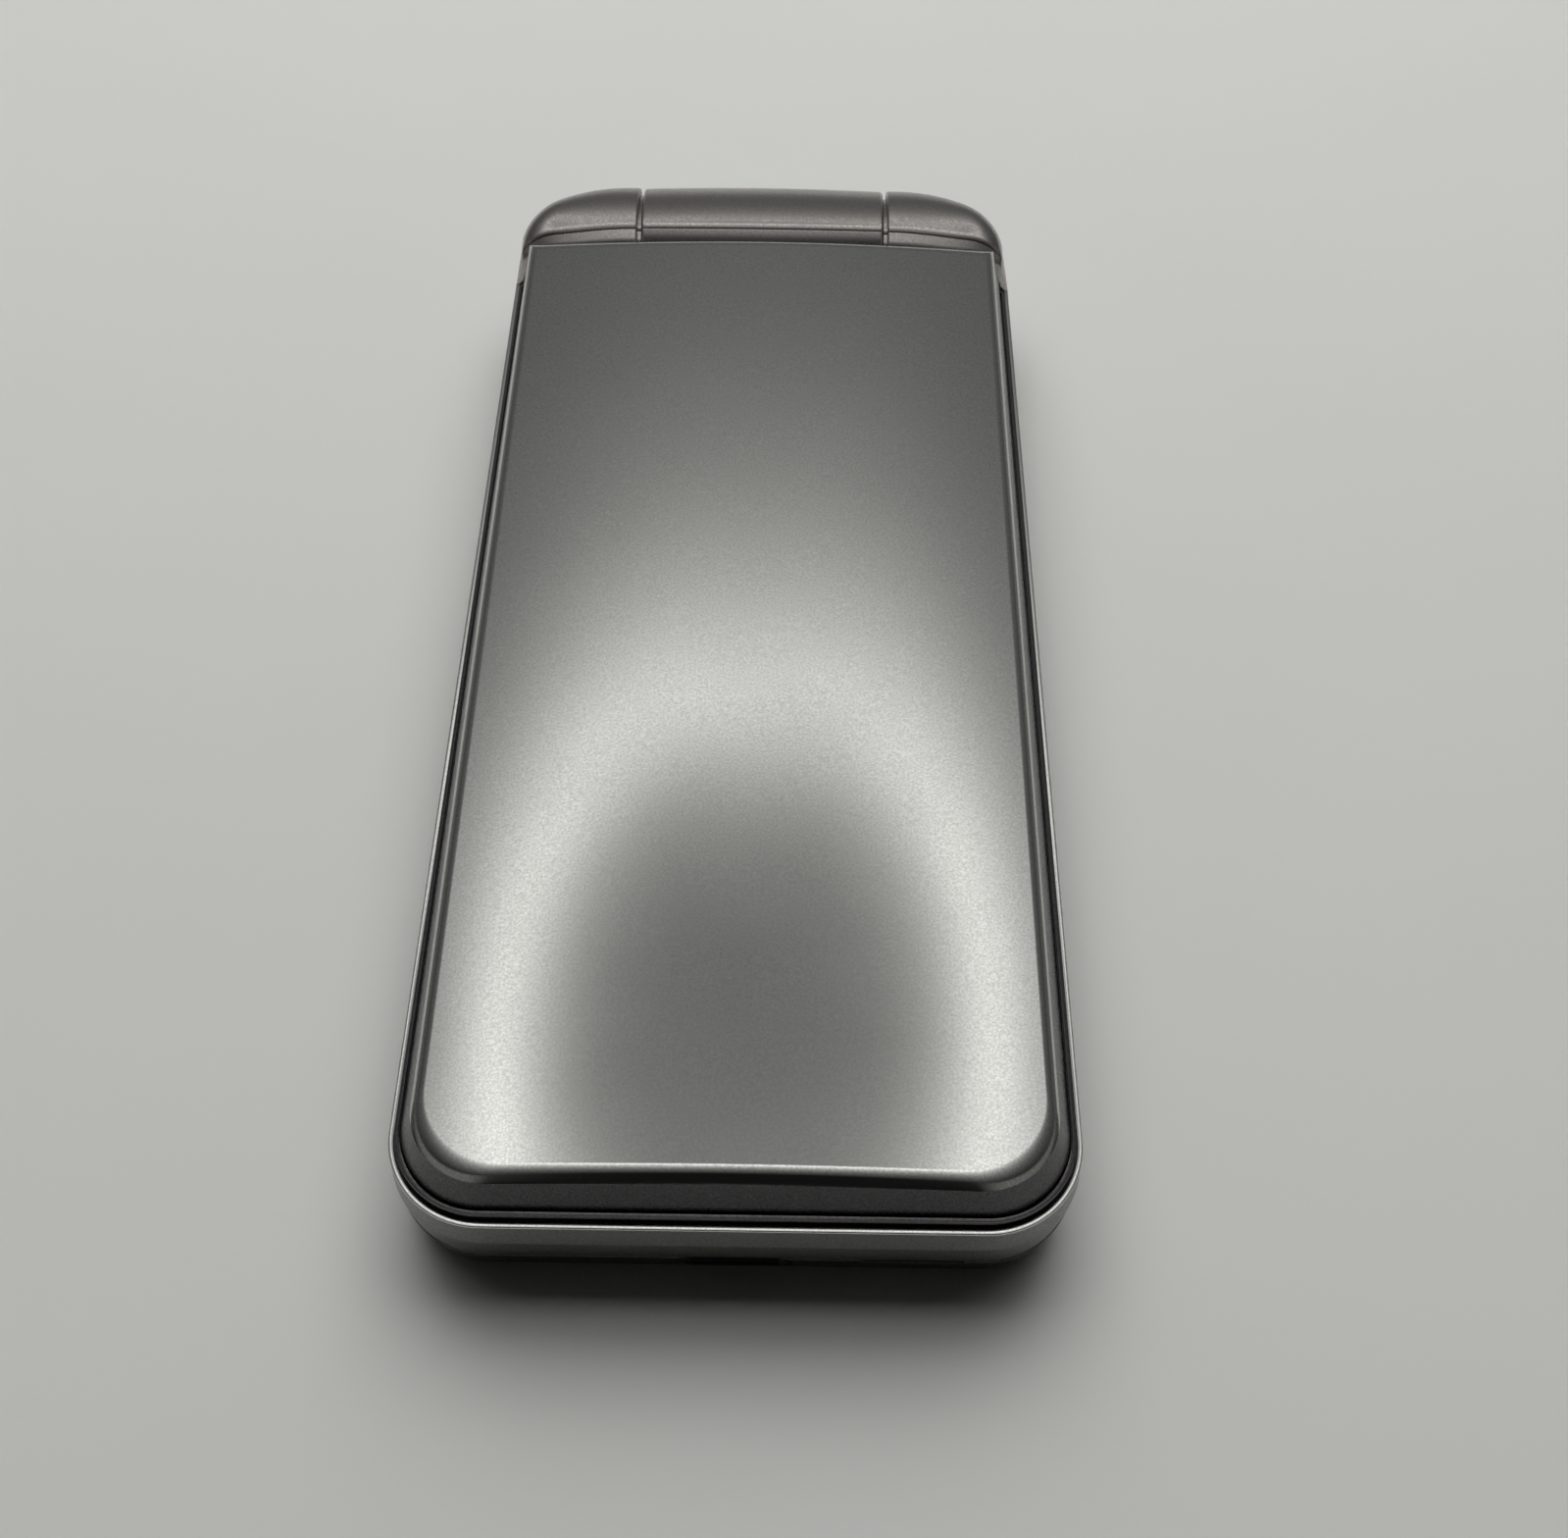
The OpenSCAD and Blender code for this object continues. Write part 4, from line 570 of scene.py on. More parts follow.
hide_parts("keypad_plate")


# Number, call and soft keys: moulded caps over the dome sheet, sprayed silver and crowned from front to back, each with
# a lip under the plate that keeps it in. The signs on them are printed in dark grey, green and red.
KEY_TOP, KEY_CROWN, KEY_EASE = 9.0, 90.0, 0.35
LIP_LOW, LIP_HIGH = 7.5, 7.85
PRINT_RISE = 0.02
# The caps have a soft silver sheen, and the inks on them are flat and don't shine.
key_paint = fine_grain("satin_silver_key_paint", "#c6c8cb", "#d9dbde", 0.34, 0.2, 0.003)
dark_print = fine_grain("dark_grey_key_print", "#1b1c1f", "#2a2b2f", 0.5, 0.15, 0.002, metallic=0.0)
green_print = fine_grain("green_key_print", "#1f7a45", "#2a8f55", 0.5, 0.15, 0.002, metallic=0.0)
red_print = fine_grain("red_key_print", "#b02a2a", "#c43a36", 0.5, 0.15, 0.002, metallic=0.0)


def key_cap(name):
    """Rings of a key: out from the middle of its foot, round the lip, up the side, over an eased edge and in across
    the top, which is crowned as z = top - dy² / KEY_CROWN. Rings near the middle shrink towards it."""
    path, out, middle = key_loop(name)
    turn = np.radians(np.linspace(0, 90, 8))
    inwards = np.linspace(0.88, 0, 8)
    inset = np.concatenate([[0, -KEY_LIP, -KEY_LIP, 0], KEY_EASE * (1 - np.cos(turn)), np.full(8, KEY_EASE)])
    shrink = np.concatenate([[0], np.ones(11), inwards])
    xy = middle[:2] + (path[:, None] - out[:, None] * inset[:, None] - middle[:2]) * shrink[:, None]
    foot = np.broadcast_to([LIP_LOW, LIP_LOW, LIP_HIGH, LIP_HIGH], (len(path), 4))
    drop = np.concatenate([KEY_EASE * (1 - np.sin(turn)), np.zeros(8)])
    top = KEY_TOP - (xy[:, 4:, 1] - middle[1]) ** 2 / KEY_CROWN - drop
    return np.concatenate([xy, np.concatenate([foot, top], axis=1)[..., None]], axis=2)


def lettered(text, size):
    """A printed sign as flat triangles in mm about its own middle, cut across every 0.4 mm so that it can bend."""
    curve = bpy.data.curves.new("sign", "FONT")
    curve.body, curve.size, curve.resolution_u = text, size, 4
    holder = bpy.data.objects.new("sign", curve)
    flat = bmesh.new()
    flat.from_mesh(bpy.data.meshes.new_from_object(holder))
    bpy.data.objects.remove(holder)
    for y in np.arange(-size, size, 0.4):
        bmesh.ops.bisect_plane(flat, geom=flat.verts[:] + flat.edges[:] + flat.faces[:],
                               plane_co=(0, y, 0), plane_no=(0, 1, 0))
    bmesh.ops.triangulate(flat, faces=flat.faces[:])
    flat.verts.index_update()
    xy = np.array([v.co[:2] for v in flat.verts])
    faces = np.array([[v.index for v in f.verts] for f in flat.faces])
    flat.free()
    return xy - (xy.max(axis=0) + xy.min(axis=0)) / 2, faces


def handset(spin):
    """A handset as a bent bar: points at radius 2.1 -+ half along an arc of 110 degrees, where half is 0.27 in the
    middle and swells to 0.62 at both ends."""
    a = np.radians(np.linspace(-55, 55, 25))[:, None]
    half = 0.27 + 0.35 * np.clip((np.abs(np.degrees(a)) - 28) / 14, 0, 1)
    reach = 2.1 + half * np.linspace(1, -1, 5)
    a = a + math.radians(spin)
    xy = np.stack([reach * np.sin(a), reach * np.cos(a)], axis=2).reshape(-1, 2)
    return xy - (xy.max(axis=0) + xy.min(axis=0)) / 2, quads(25, 5)[:, ::-1]


def dash(length, height):
    """A short printed bar with round ends, filled as a fan of rings about its middle."""
    loop, _ = slot_loop(0, 0, length, height, arc=8)
    return (loop[:, None] * np.array([0, 1])[:, None]).reshape(-1, 2), quads(len(loop), 2, around=True)[:, ::-1]


signs = {name: (*lettered(name[4:], 4.6), dark_print) for name in pad_keys if name[4:].isdigit()}
signs["key_star"] = (*lettered("*", 5.6), dark_print)
signs["key_hash"] = (*lettered("#", 4.2), dark_print)
signs["key_call"] = (*handset(-45), green_print)
signs["key_end"] = (*handset(0), red_print)
signs["key_clear"] = (*lettered("<", 4.0), dark_print)
for name in pad_keys:
    cap = key_cap(name)
    piece = put_mesh(name + "_cap", name, [skin(cap, around=True)], key_paint, sharp=50)
    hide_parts(name)
    xy, faces, ink = signs.get(name, (*dash(2.6, 0.5), dark_print))
    middle = key_loop(name)[2]
    up = KEY_TOP - xy[:, 1] ** 2 / KEY_CROWN + PRINT_RISE
    printed = np.concatenate([xy + middle[:2], up[:, None]], axis=1)
    put_mesh(name + "_print", name, [(printed, faces)], ink)


# Direction ring and centre key: two turned-looking caps, moulded and sprayed silver. The ring is dished towards the
# centre key and falls to a bevel at its edge, with a small printed arrow on each side.
OK_R, DISH_LOW, DISH_RISE, DISH_W = 4.4, 8.75, 0.245, 4.15


def turned(x, y, r, z, n=96):
    """A profile of radii and heights turned once about the upright line through x, y."""
    a = np.radians(np.linspace(0, 360, n, endpoint=False))[:, None]
    return np.stack(np.broadcast_arrays(x + r * np.cos(a), y + r * np.sin(a), z), axis=2)


def dish_z(r):
    """Height of the ring's dish at radius r: DISH_LOW + DISH_RISE ((r - OK_R) / DISH_W) ^ 1.5."""
    return DISH_LOW + DISH_RISE * ((r - OK_R) / DISH_W) ** 1.5


# A little darker and glossier than the keys, so that the dish catches the light.
ring_paint = fine_grain("satin_silver_ring_paint", "#b8babd", "#cecfd2", 0.3, 0.2, 0.003)
dish = np.linspace(8.55, OK_R + 0.45, 10)
ring_r = np.concatenate([[OK_R + KEY_GAP, NAV_R + KEY_LIP, NAV_R + KEY_LIP, NAV_R, NAV_R, 9.57, 9.5, 9.35, 9.1, 8.8],
                         dish, [OK_R + 0.3, OK_R + 0.23, OK_R + KEY_GAP, OK_R + KEY_GAP]])
ring_z = np.concatenate([[LIP_LOW, LIP_LOW, LIP_HIGH, LIP_HIGH, 8.5, 8.62, 8.7, 8.79, 8.9, 8.975],
                         dish_z(dish), [8.74, 8.7, 8.6, LIP_LOW]])
ring = turned(0, nav_y, ring_r, ring_z, 128)
ring_piece = put_mesh("direction_ring", "nav_ring", [skin(ring, around=True)], ring_paint, sharp=50)
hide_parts("nav_ring")
ok_turn = np.radians(np.linspace(0, 90, 8))
ok_in = np.linspace(OK_R - 0.4, 0, 8)
ok_r = np.concatenate([[0, OK_R + KEY_LIP, OK_R + KEY_LIP, OK_R], OK_R - 0.35 * (1 - np.cos(ok_turn)), ok_in])
ok_z = np.concatenate([[7.4, 7.4, 7.6, 7.6], 8.65 + 0.35 * np.sin(ok_turn), 8.9 + 0.1 * (ok_in / 4) ** 2])
centre = turned(0, nav_y, ok_r, ok_z, 96)
centre_piece = put_mesh("centre_key_cap", "ok_key", [skin(centre, around=True)], key_paint, sharp=50)
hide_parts("ok_key")

# The arrows are triangles 7.2 mm from the middle, printed on the dish.
arrow_a = np.radians(np.arange(4) * 90)[:, None]
arrow_r, arrow_s = np.array([7.8, 6.9, 6.9]), np.array([0.0, 0.75, -0.75])
arrow_x = arrow_r * np.cos(arrow_a) - arrow_s * np.sin(arrow_a)
arrow_y = arrow_r * np.sin(arrow_a) + arrow_s * np.cos(arrow_a)
arrow_z = dish_z(np.hypot(arrow_x, arrow_y)) + PRINT_RISE
arrows = np.stack([arrow_x, arrow_y + nav_y, arrow_z], axis=2)
arrow_piece = put_mesh("direction_ring_print", "nav_ring", [(arrows, np.arange(12).reshape(4, 3))], dark_print)


# Volume key: a slim rounded bar in the left wall, moulded and painted like the hinge, with a low crown along its face.
# A lip behind the wall keeps it in.
(key_x, _, _), _ = np.array(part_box("volume_key")) / MM
loop, loop_out = slot_loop(VOLUME_Y, VOLUME_Z, VOLUME_L, VOLUME_H, arc=20)
bar_in = np.array([0, 0, 0.03, 0.1, 0.22, 0.45, 0.75, VOLUME_H / 2])
bar_x = key_x + np.array([1.2, 0.3, 0.19, 0.12, 0.07, 0.03, 0.005, 0])
bar = sweep(loop, loop_out, bar_in, bar_x)[..., [2, 0, 1]]
bar_faces = quads(*bar.shape[:2], around=True)[:, ::-1]
volume = put_mesh("volume_key_bar", "volume_key", [(bar, bar_faces)], hinge_paint, sharp=50)
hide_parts("volume_key")


# Rubber stops and screw plugs: four small discs pressed into pockets of the lid's inner face. Two soft stops at the
# opening end, near black and dull, keep the lid off the keys, and two plugs by the hinge hide the screws.
stop_rubber = fine_grain("moulded_grey_rubber", "#232325", "#2f2f32", 0.7, 0.25, 0.006, metallic=0.0)
for node, material, y in (("lid_bumpers", stop_rubber, stop_y), ("screw_caps", frame_paint, plug_y)):
    (_, _, low), (_, _, high) = np.array(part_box(node)) / MM
    disc_r = np.array([0, 0.6, 1.1, STOP_R - 0.3, STOP_R - 0.09, STOP_R, STOP_R, 0])
    disc_z = np.array([low, low, low + 0.01, low + 0.03, low + 0.09, low + 0.3, high, high])
    discs = [turned(x, y, disc_r, disc_z, 40) for x in (-stop_x, stop_x)]
    piece = put_mesh(node.replace("lid_", "rubber_").replace("caps", "plugs"), "lid",
                     [skin(d, around=True) for d in discs], material, sharp=50)
    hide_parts(node)


# Display window: a flat glass panel glued into the lid frame. It is printed black behind its border, and the unlit
# display behind the rest is only a little lighter, so the whole panel reads as one dark mirror with faint smudges.
BORDER, INK_EDGE = 1.2, 0.06
window_glass, tree = new_material("black_printed_glass")
place = add(tree, "TexCoord").outputs["Object"]
spot = add(tree, "SeparateXYZ", {"Vector": place})
(_, shown_y0, _), (shown_x1, shown_y1, _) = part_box("display_module")
from_mid = add(tree, "Math", {0: spot.outputs["Y"]}, {1: (shown_y0 + shown_y1) / 2}, operation="SUBTRACT")
past = []
for along, half in ((spot.outputs["X"], shown_x1), (from_mid, (shown_y1 - shown_y0) / 2)):
    size = add(tree, "Math", {0: along}, operation="ABSOLUTE")
    past.append(add(tree, "Math", {0: size}, {1: half - BORDER * MM}, operation="SUBTRACT"))
margin = add(tree, "Math", {0: past[0], 1: past[1]}, operation="MAXIMUM")
inked = add(tree, "MapRange", {"Value": margin}, {"From Min": -INK_EDGE * MM, "From Max": INK_EDGE * MM})
shade = add(tree, "Mix", {"Factor": inked}, {"A": linear("#16181c"), "B": linear("#060607")}, data_type="RGBA")
smudge = add(tree, "TexNoise", {"Vector": place}, {"Scale": 1 / (9 * MM), "Detail": 3.0})
sheen = add(tree, "MapRange", {"Value": smudge}, {"From Min": 0.4, "From Max": 0.7, "To Min": 0.04, "To Max": 0.11})
shader = add(tree, "BsdfPrincipled", {"Base Color": shade, "Roughness": sheen}, {"IOR": 1.52})
add(tree, "OutputMaterial", {"Surface": shader})


def coat(material, *nodes):
    """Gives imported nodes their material."""
    for name in nodes:
        slots = bpy.data.objects[name].data.materials
        slots.clear()
        slots.append(material)


coat(window_glass, "display_window")


# Camera window: a small glass disc glued into the rear cover, printed black but for the lens in its middle,
# which shows as a deep violet-black eye inside a thin grey ring.
lens_glass, tree = new_material("black_printed_lens_glass")
place = add(tree, "TexCoord").outputs["Object"]
(eye_x0, eye_y0, eye_z), (eye_x1, eye_y1, _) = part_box("camera_window")
eye_r = (eye_x1 - eye_x0) / 2
away = add(tree, "VectorMath", {0: place}, {1: ((eye_x0 + eye_x1) / 2, (eye_y0 + eye_y1) / 2, eye_z)},
           operation="DISTANCE")
share = add(tree, "Math", {0: away}, {1: eye_r}, operation="DIVIDE")
eye = add(tree, "ValToRGB", {"Fac": share})
eye.color_ramp.elements[0].position, eye.color_ramp.elements[0].color = 0.0, linear("#1a1030")
eye.color_ramp.elements[1].position, eye.color_ramp.elements[1].color = 1.0, linear("#151517")
for at, colour in ((0.26, "#0a0812"), (0.34, "#0a0812"), (0.36, "#6a6a70"), (0.41, "#55555a"),
                   (0.43, "#070708"), (0.93, "#070708")):
    eye.color_ramp.elements.new(at).color = linear(colour)
dust = add(tree, "TexNoise", {"Vector": place}, {"Scale": 1 / (1.2 * MM), "Detail": 2.0})
sheen = add(tree, "MapRange", {"Value": dust}, {"To Min": 0.03, "To Max": 0.1})
shader = add(tree, "BsdfPrincipled", {"Base Color": eye, "Roughness": sheen}, {"IOR": 1.52})
add(tree, "OutputMaterial", {"Surface": shader})
coat(lens_glass, "camera_window")


# Speaker mesh and earpiece: a fine woven steel gauze, blackened, behind the slots of the rear cover and of the lid
# frame, which it fills with a dark dull weave. The weave of 0.1 mm is drawn at 0.3 mm, or it would not show.
WEAVE = 0.3
gauze, tree = new_material("black_woven_gauze")
place = add(tree, "TexCoord").outputs["Object"]
threads = [add(tree, "TexWave", {"Vector": place}, {"Scale": 2 * math.pi / (20 * WEAVE * MM)},
               wave_type="BANDS", bands_direction=way) for way in "XY"]
weave = add(tree, "Math", {0: threads[0].outputs["Fac"], 1: threads[1].outputs["Fac"]}, operation="MAXIMUM")
wire = add(tree, "Mix", {"Factor": weave}, {"A": linear("#040404"), "B": linear("#3a3a3d")}, data_type="RGBA")
tilt = add(tree, "Bump", {"Height": weave}, {"Strength": 0.6, "Distance": 0.06 * MM})
shader = add(tree, "BsdfPrincipled", {"Base Color": wire, "Normal": tilt}, {"Roughness": 0.5, "Metallic": 0.6})
add(tree, "OutputMaterial", {"Surface": shader})
coat(gauze, "speaker_mesh", "earpiece")


# Charging socket: a drawn stainless shell, tin bright, round a black moulded tongue with gold-plated contacts
# every half millimetre. The tongue is told from the shell by where it stands in the mouth.
TONGUE_HALF, TONGUE_THICK, CONTACT_PITCH = 3.45, 0.8, 0.5
socket_metal, tree = new_material("bright_drawn_steel_and_tongue")
place = add(tree, "TexCoord").outputs["Object"]
spot = add(tree, "SeparateXYZ", {"Vector": place})
rise = add(tree, "Math", {0: spot.outputs["Z"]}, {1: MOUTH_Z * MM}, operation="SUBTRACT")
past = []
for along, half in ((spot.outputs["X"], TONGUE_HALF), (rise, TONGUE_THICK / 2)):
    size = add(tree, "Math", {0: along}, operation="ABSOLUTE")
    past.append(add(tree, "Math", {0: size}, {1: half * MM}, operation="LESS_THAN"))
tongue = add(tree, "Math", {0: past[0], 1: past[1]}, operation="MULTIPLY")
stripes = add(tree, "TexWave", {"Vector": place}, {"Scale": 2 * math.pi / (20 * CONTACT_PITCH * MM)},
              wave_type="BANDS", bands_direction="X")
gilt = add(tree, "Math", {0: stripes.outputs["Fac"]}, {1: 0.55}, operation="GREATER_THAN")
rubbed = add(tree, "TexNoise", {"Vector": place}, {"Scale": 1 / (0.4 * MM), "Detail": 2.0})
pads = add(tree, "Mix", {"Factor": gilt}, {"A": linear("#101012"), "B": linear("#b8924a")}, data_type="RGBA")
tone = add(tree, "Mix", {"Factor": tongue, "B": pads}, {"A": linear("#a9a9ac")}, data_type="RGBA")
plated = add(tree, "Math", {0: tongue}, {1: -0.6, 2: 1.0}, operation="MULTIPLY_ADD")
grit = add(tree, "MapRange", {"Value": rubbed}, {"To Min": 0.22, "To Max": 0.42})
shader = add(tree, "BsdfPrincipled", {"Base Color": tone, "Metallic": plated, "Roughness": grit})
add(tree, "OutputMaterial", {"Surface": shader})
coat(socket_metal, "usb_socket")


# Chassis and boards: the black glass-filled middle frame that everything screws to, the green circuit boards on it,
# and the polyester sheet of domes under the keys. Black, green and milky, they tell the layers apart where they show.
coat(fine_grain("glass_filled_black_plastic", "#1a1a1c", "#28282b", 0.5, 0.35, 0.006, metallic=0.0), "mid_frame")
coat(fine_grain("green_solder_mask", "#174c31", "#256844", 0.32, 0.5, 0.003, metallic=0.0),
     "main_board", "charge_board")
coat(fine_grain("milky_polyester_film", "#b9bcb8", "#cfd1cd", 0.28, 0.6, 0.002, metallic=0.0), "dome_sheet")
coat(fine_grain("moulded_black_plastic", "#121214", "#1e1e21", 0.42, 0.3, 0.004, metallic=0.0),
     "camera_module", "loudspeaker", "display_module")


# Battery and its contacts: a flat aluminium can with a fine drawn grain that gives it a soft pale sheen, held by the
# rear cover and touched by gold-plated springs.
coat(fine_grain("drawn_aluminium_can", "#a8abad", "#bfc2c4", 0.36, 0.3, 0.003), "battery")
coat(fine_grain("gold_plated_spring", "#b8904a", "#d0a860", 0.28, 0.2, 0.002), "battery_contacts")


# Pressed and turned steel: shield cans, card holder, motor and microphone cans, and the shaft, sleeve and click capsule
# of the hinge, dull where pressed and brighter where turned. The flex cable through the hinge is amber film, and the
# lid's magnet is nickel plated.
coat(fine_grain("pressed_tin_steel", "#9c9fa2", "#b6b9bc", 0.38, 0.3, 0.004),
     "shield_cans", "card_holder", "vibration_motor", "microphone")
coat(fine_grain("turned_stainless_steel", "#8f9194", "#aaacae", 0.3, 0.15, 0.003),
     "hinge_shaft", "pivot_sleeve", "hinge_capsule")
coat(fine_grain("nickel_plated_magnet", "#a5a39c", "#bdbbb3", 0.24, 0.25, 0.002), "lid_magnet")
coat(fine_grain("amber_polyimide_film", "#8a4a12", "#a05c1c", 0.3, 0.5, 0.002, metallic=0.0), "hinge_flex")


# Screws: small steel screws that hold the middle frame in the base and the lid frame to its cover. They are
# blackened, so that only their edges catch the light.
coat(fine_grain("blackened_screw_steel", "#2c2c2e", "#3d3d40", 0.35, 0.15, 0.003), "base_screws", "lid_screws")


# Floor, light and camera: a pale matte table with a pale cloth behind it, a ring softbox that only the paint mirrors,
# two softboxes and soft daylight from the hinge side, and a room that is dark behind the camera.
PALE = linear("#c4c4c1")
TABLE_R, PALE_FROM, PALE_TO = 2.5, 0.14, 0.45


def set_piece(name, xyz, material, around=True):
    """A grid of points, in metres, as one object of the set round the part."""
    mesh = bpy.data.meshes.new(name)
    mesh.from_pydata(xyz.reshape(-1, 3).tolist(), [], quads(*xyz.shape[:2], around)[:, ::-1].tolist())
    mesh.shade_smooth()
    mesh.materials.append(material)
    obj = bpy.data.objects.new(name, mesh)
    bpy.context.scene.collection.objects.link(obj)
    return obj


floor_mat, tree = new_material("matte_pale_table")
place = add(tree, "TexCoord").outputs["Object"]
mottle = add(tree, "TexNoise", {"Vector": place}, {"Scale": 1 / (40 * MM), "Detail": 4.0})
tone = add(tree, "Mix", {"Factor": mottle}, {"A": linear("#e9e9e5"), "B": linear("#ededea")}, data_type="RGBA")
shader = add(tree, "BsdfPrincipled", {"Base Color": tone}, {"Roughness": 0.9})
# Far from the lamps the table is as pale to the eye as the cloth behind it.
ray = add(tree, "LightPath").outputs
seen = add(tree, "Math", {0: ray["Is Camera Ray"], 1: ray["Is Glossy Ray"]}, operation="MAXIMUM")
seen = add(tree, "Math", {0: seen, 1: ray["Is Transmission Ray"]}, operation="MAXIMUM")
away = add(tree, "VectorMath", {0: place}, operation="LENGTH")
far_off = add(tree, "MapRange", {"Value": away, "To Max": seen}, {"From Min": PALE_FROM, "From Max": PALE_TO})
pale = add(tree, "Emission", {}, {"Color": PALE, "Strength": 1.0})
table_look = add(tree, "MixShader", {"Fac": far_off, 1: shader, 2: pale})
add(tree, "OutputMaterial", {"Surface": table_look})
floor_r = np.array([0, 0.3, 1.0, 2.0, 2.2, 2.36, 2.46, TABLE_R])
floor_z = np.array([0, 0, 0, 0, 0.01, 0.04, 0.1, 0.2]) - 0.00003
table = set_piece("table", turned(0, 0, floor_r, floor_z, 72), floor_mat)

# Behind the table a pale cloth hangs all round. It only closes the picture in low views and sends no light.
cloth_mat, tree = new_material("pale_backdrop_cloth")
shine = add(tree, "Emission", {}, {"Color": PALE, "Strength": 1.0})
add(tree, "OutputMaterial", {"Surface": shine})
cloth = set_piece("backdrop", turned(0, 0, np.array([TABLE_R, TABLE_R]), np.array([0.19, 1.8]), 72), cloth_mat)
cloth.visible_diffuse = cloth.visible_glossy = cloth.visible_shadow = False

# The lamp that the paint mirrors is a round softbox with a dark middle, held above and behind the phone, facing it.
RING_AWAY, RING_EL, RING_REACH = 0.45, math.radians(67.5), 58.0
RING_AIM = Vector((-0.007, -0.012, 0.016))
RING_INNER, RING_WIDER, MIDDLE_GLOW, ROOM_GLOW, ROOM_FROM = 13.3, 3.9, 0.04, 0.15, 30.0
ring_mat, tree = new_material("ring_softbox_cloth")
glow = add(tree, "Attribute", attribute_name="glow", attribute_type="GEOMETRY")
shine = add(tree, "Emission", {"Strength": glow.outputs["Fac"]}, {"Color": (1.0, 0.995, 0.975, 1)})
add(tree, "OutputMaterial", {"Surface": shine})
degrees = np.linspace(0, RING_REACH, 117)
around = np.radians(np.linspace(0, 360, 97))[:, None]
reach = RING_AWAY * np.tan(np.radians(degrees))
disc = np.stack(np.broadcast_arrays(reach * np.cos(around), reach * np.sin(around), RING_AWAY), axis=2)
# The ring is wider than it is high. Its glow rises steeply at the inner edge and fades outside it, faster at the sides
# and slower on the near side, down to the level of the room. Widths are degrees about its middle, seen from the phone.
sideways = np.cos(around) ** 2
near = np.maximum(-np.sin(around), 0)
beyond = degrees - (RING_INNER + RING_WIDER * sideways ** 0.7)
inner_width = 2.2 - 0.4 * sideways
outer_width = 5.0 - 2.6 * sideways + 6.0 * near
peak = 1.57 + 0.65 * sideways + 0.4 * near
shape = np.where(beyond > 0, np.exp(-np.maximum(beyond, 0) / outer_width),
                 MIDDLE_GLOW + (1 - MIDDLE_GLOW) * np.exp(np.minimum(beyond, 0) / inner_width))
dimmer = np.clip((degrees - ROOM_FROM) / (RING_REACH - ROOM_FROM), 0, 1)
strength = ROOM_GLOW * (1 - (near + 0.6 * sideways) * dimmer) + peak * shape
ring_turn = Matrix.Rotation(RING_EL - math.pi / 2, 3, "X")
ring_xyz = disc @ np.array(ring_turn).T + np.array(RING_AIM)
ring_lamp = set_piece("ring_softbox", ring_xyz, ring_mat, around=False)
ring_lamp.data.attributes.new("glow", "FLOAT", "POINT").data.foreach_set("value", strength.ravel())
ring_lamp.visible_camera = ring_lamp.visible_diffuse = ring_lamp.visible_shadow = False

# The other lamps light the table and the walls, and the paint doesn't mirror them.
for name, size, at, aim in (("rear_softbox", (0.7, 0.5), (0, 0.44, 0.53), (0, 0.1, 0)),
                            ("overhead_softbox", (0.7, 0.44), (0, 0.24, 0.5), (0, 0.24, 0))):
    lamp = bpy.data.lights.new(name, "AREA")
    lamp.shape, lamp.energy = "RECTANGLE", 1.3
    lamp.size, lamp.size_y = size
    lamp_obj = bpy.data.objects.new(name, lamp)
    lamp_obj.location = at
    lamp_obj.rotation_euler = (Vector(aim) - Vector(at)).to_track_quat("-Z", "Y").to_euler()
    lamp_obj.visible_glossy = False
    bpy.context.scene.collection.objects.link(lamp_obj)
sun = bpy.data.lights.new("soft_daylight", "SUN")
sun.energy, sun.angle = 0.4, math.radians(50)
sun_obj = bpy.data.objects.new("soft_daylight", sun)
sun_obj.rotation_euler = Vector((0, -0.62, -0.78)).to_track_quat("-Z", "Y").to_euler()
sun_obj.visible_glossy = False
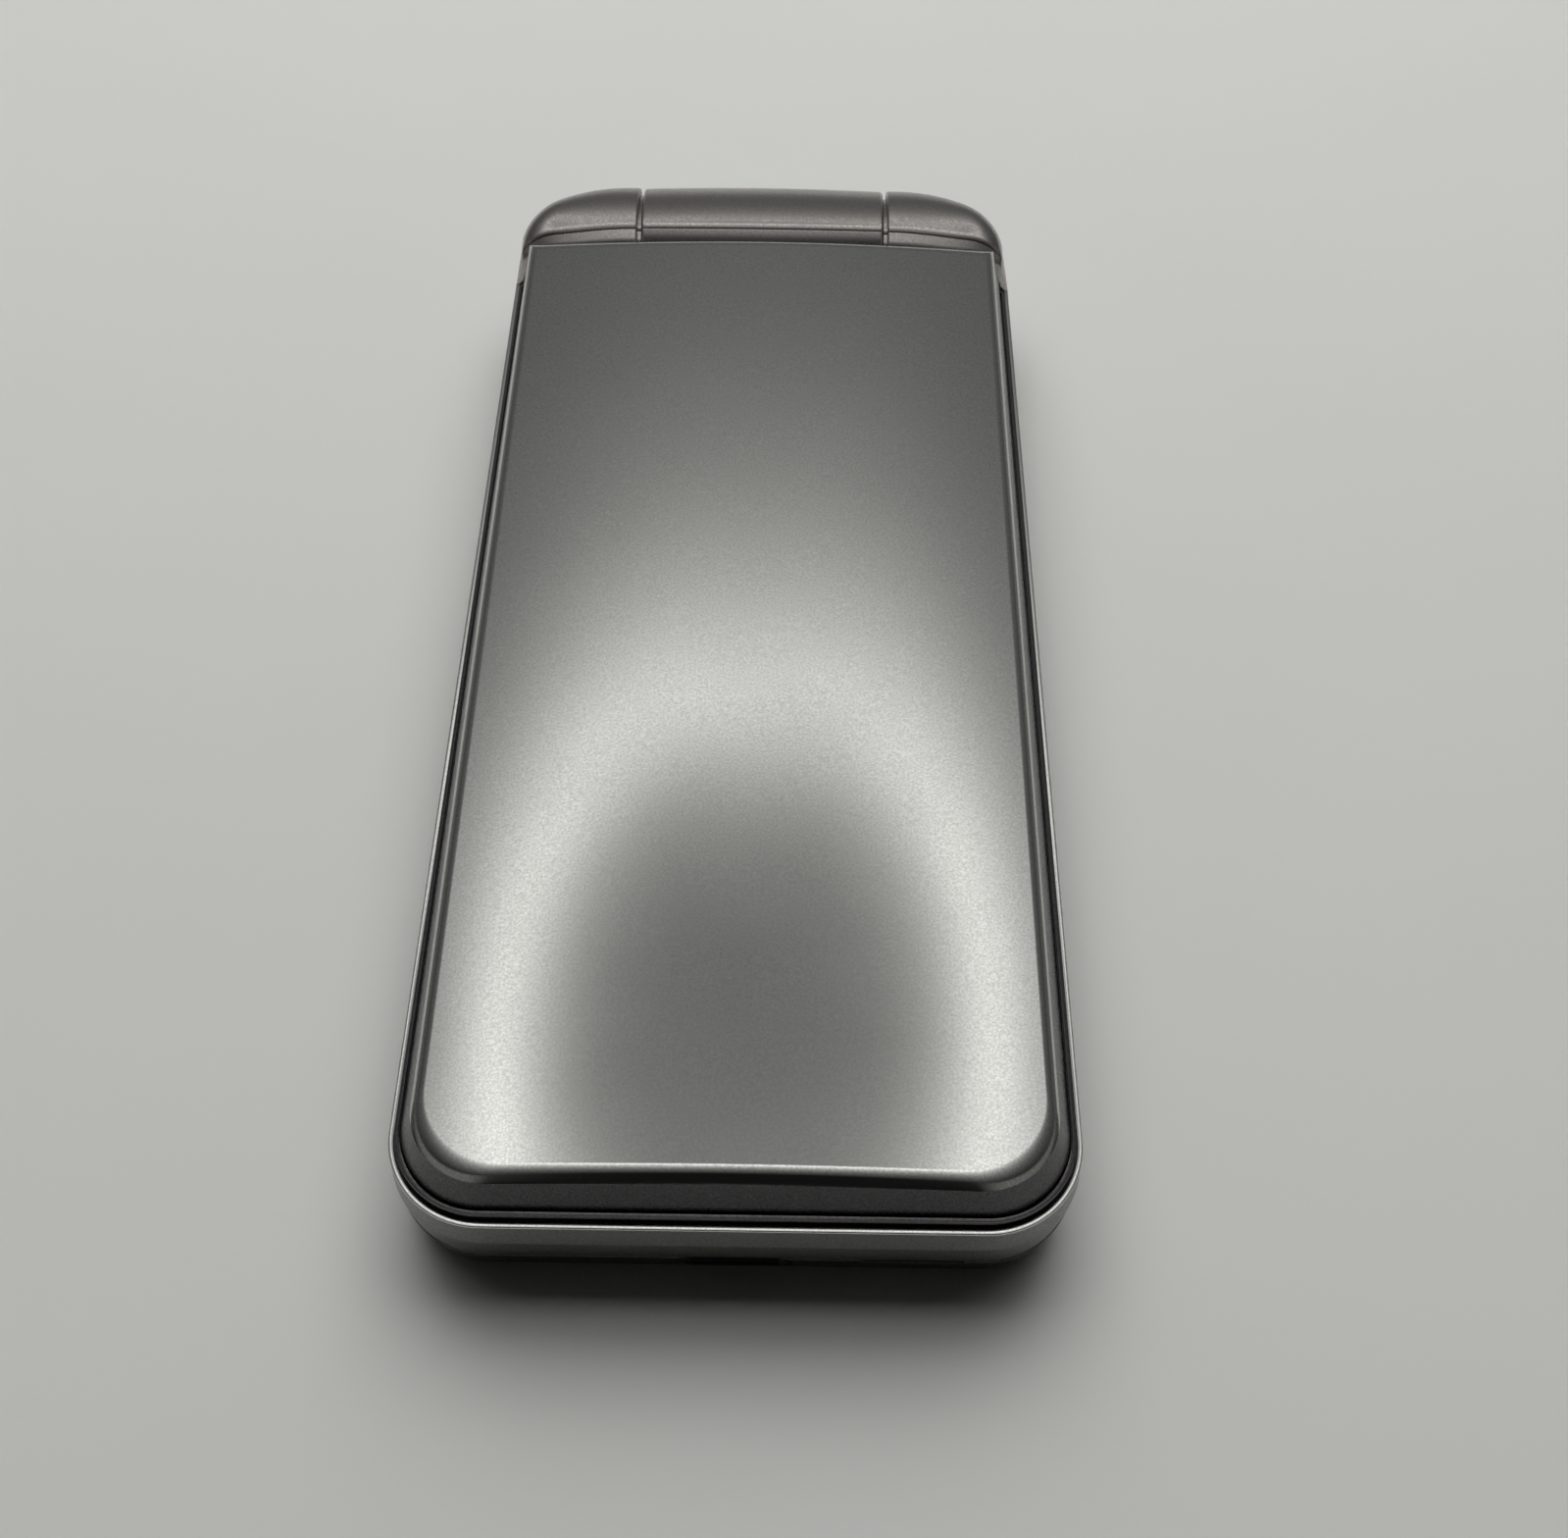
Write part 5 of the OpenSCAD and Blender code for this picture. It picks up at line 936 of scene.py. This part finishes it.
bpy.context.scene.collection.objects.link(sun_obj)

# The room is dim on the hinge side and dark behind the camera, which gives the lid its black edge. High up at both
# sides it is lit for reflections only, so that the lid isn't black from behind.
world = bpy.data.worlds.new("studio")
world.use_nodes = True
tree = world.node_tree
tree.nodes.clear()
way = add(tree, "TexCoord").outputs["Generated"]
split = add(tree, "SeparateXYZ", {"Vector": way})
ray = add(tree, "LightPath").outputs
north = add(tree, "MapRange", {"Value": split.outputs["Y"]}, {"From Min": -0.05, "From Max": 0.8})
breadth = add(tree, "Math", {0: split.outputs["X"]}, operation="ABSOLUTE")
aside = add(tree, "MapRange", {"Value": breadth}, {"From Min": 0.2, "From Max": 0.5})
high = add(tree, "MapRange", {"Value": split.outputs["Z"], "To Max": ray["Is Glossy Ray"]},
           {"From Min": 0.28, "From Max": 0.5})
lit = add(tree, "Math", {0: aside, 1: high}, operation="MULTIPLY")
level = add(tree, "Math", {0: north, 1: lit}, operation="MAXIMUM")
room = add(tree, "ValToRGB", {"Fac": level})
stops = room.color_ramp.elements
stops[0].position, stops[0].color = 0.0, (0.008, 0.008, 0.008, 1)
stops[1].position, stops[1].color = 1.0, (0.21, 0.21, 0.2, 1)
sky = add(tree, "Background", {"Color": room}, {"Strength": 1.0})
add(tree, "OutputWorld", {"Surface": sky})
bpy.context.scene.world = world

# The camera stands where the photograph was taken from, in mm, turned by degrees about Z, X and its own axis.
CAMERA_AT, CAMERA_TURNS = Vector((3.49, -112.08, 136.53)), ((0.237, "Z"), (36.869, "X"), (0.647, "Z"))
camera = bpy.data.cameras.new("photo_camera")
camera.lens = 43.75
camera.sensor_width = 36.0
camera.clip_start = 0.01
camera_obj = bpy.data.objects.new("photo_camera", camera)
stand = Matrix.Translation(CAMERA_AT * MM)
for angle, axis in CAMERA_TURNS:
    stand = stand @ Matrix.Rotation(math.radians(angle), 4, axis)
camera_obj.matrix_world = stand
bpy.context.scene.collection.objects.link(camera_obj)
bpy.context.scene.camera = camera_obj
bpy.context.scene.view_settings.view_transform = "Standard"
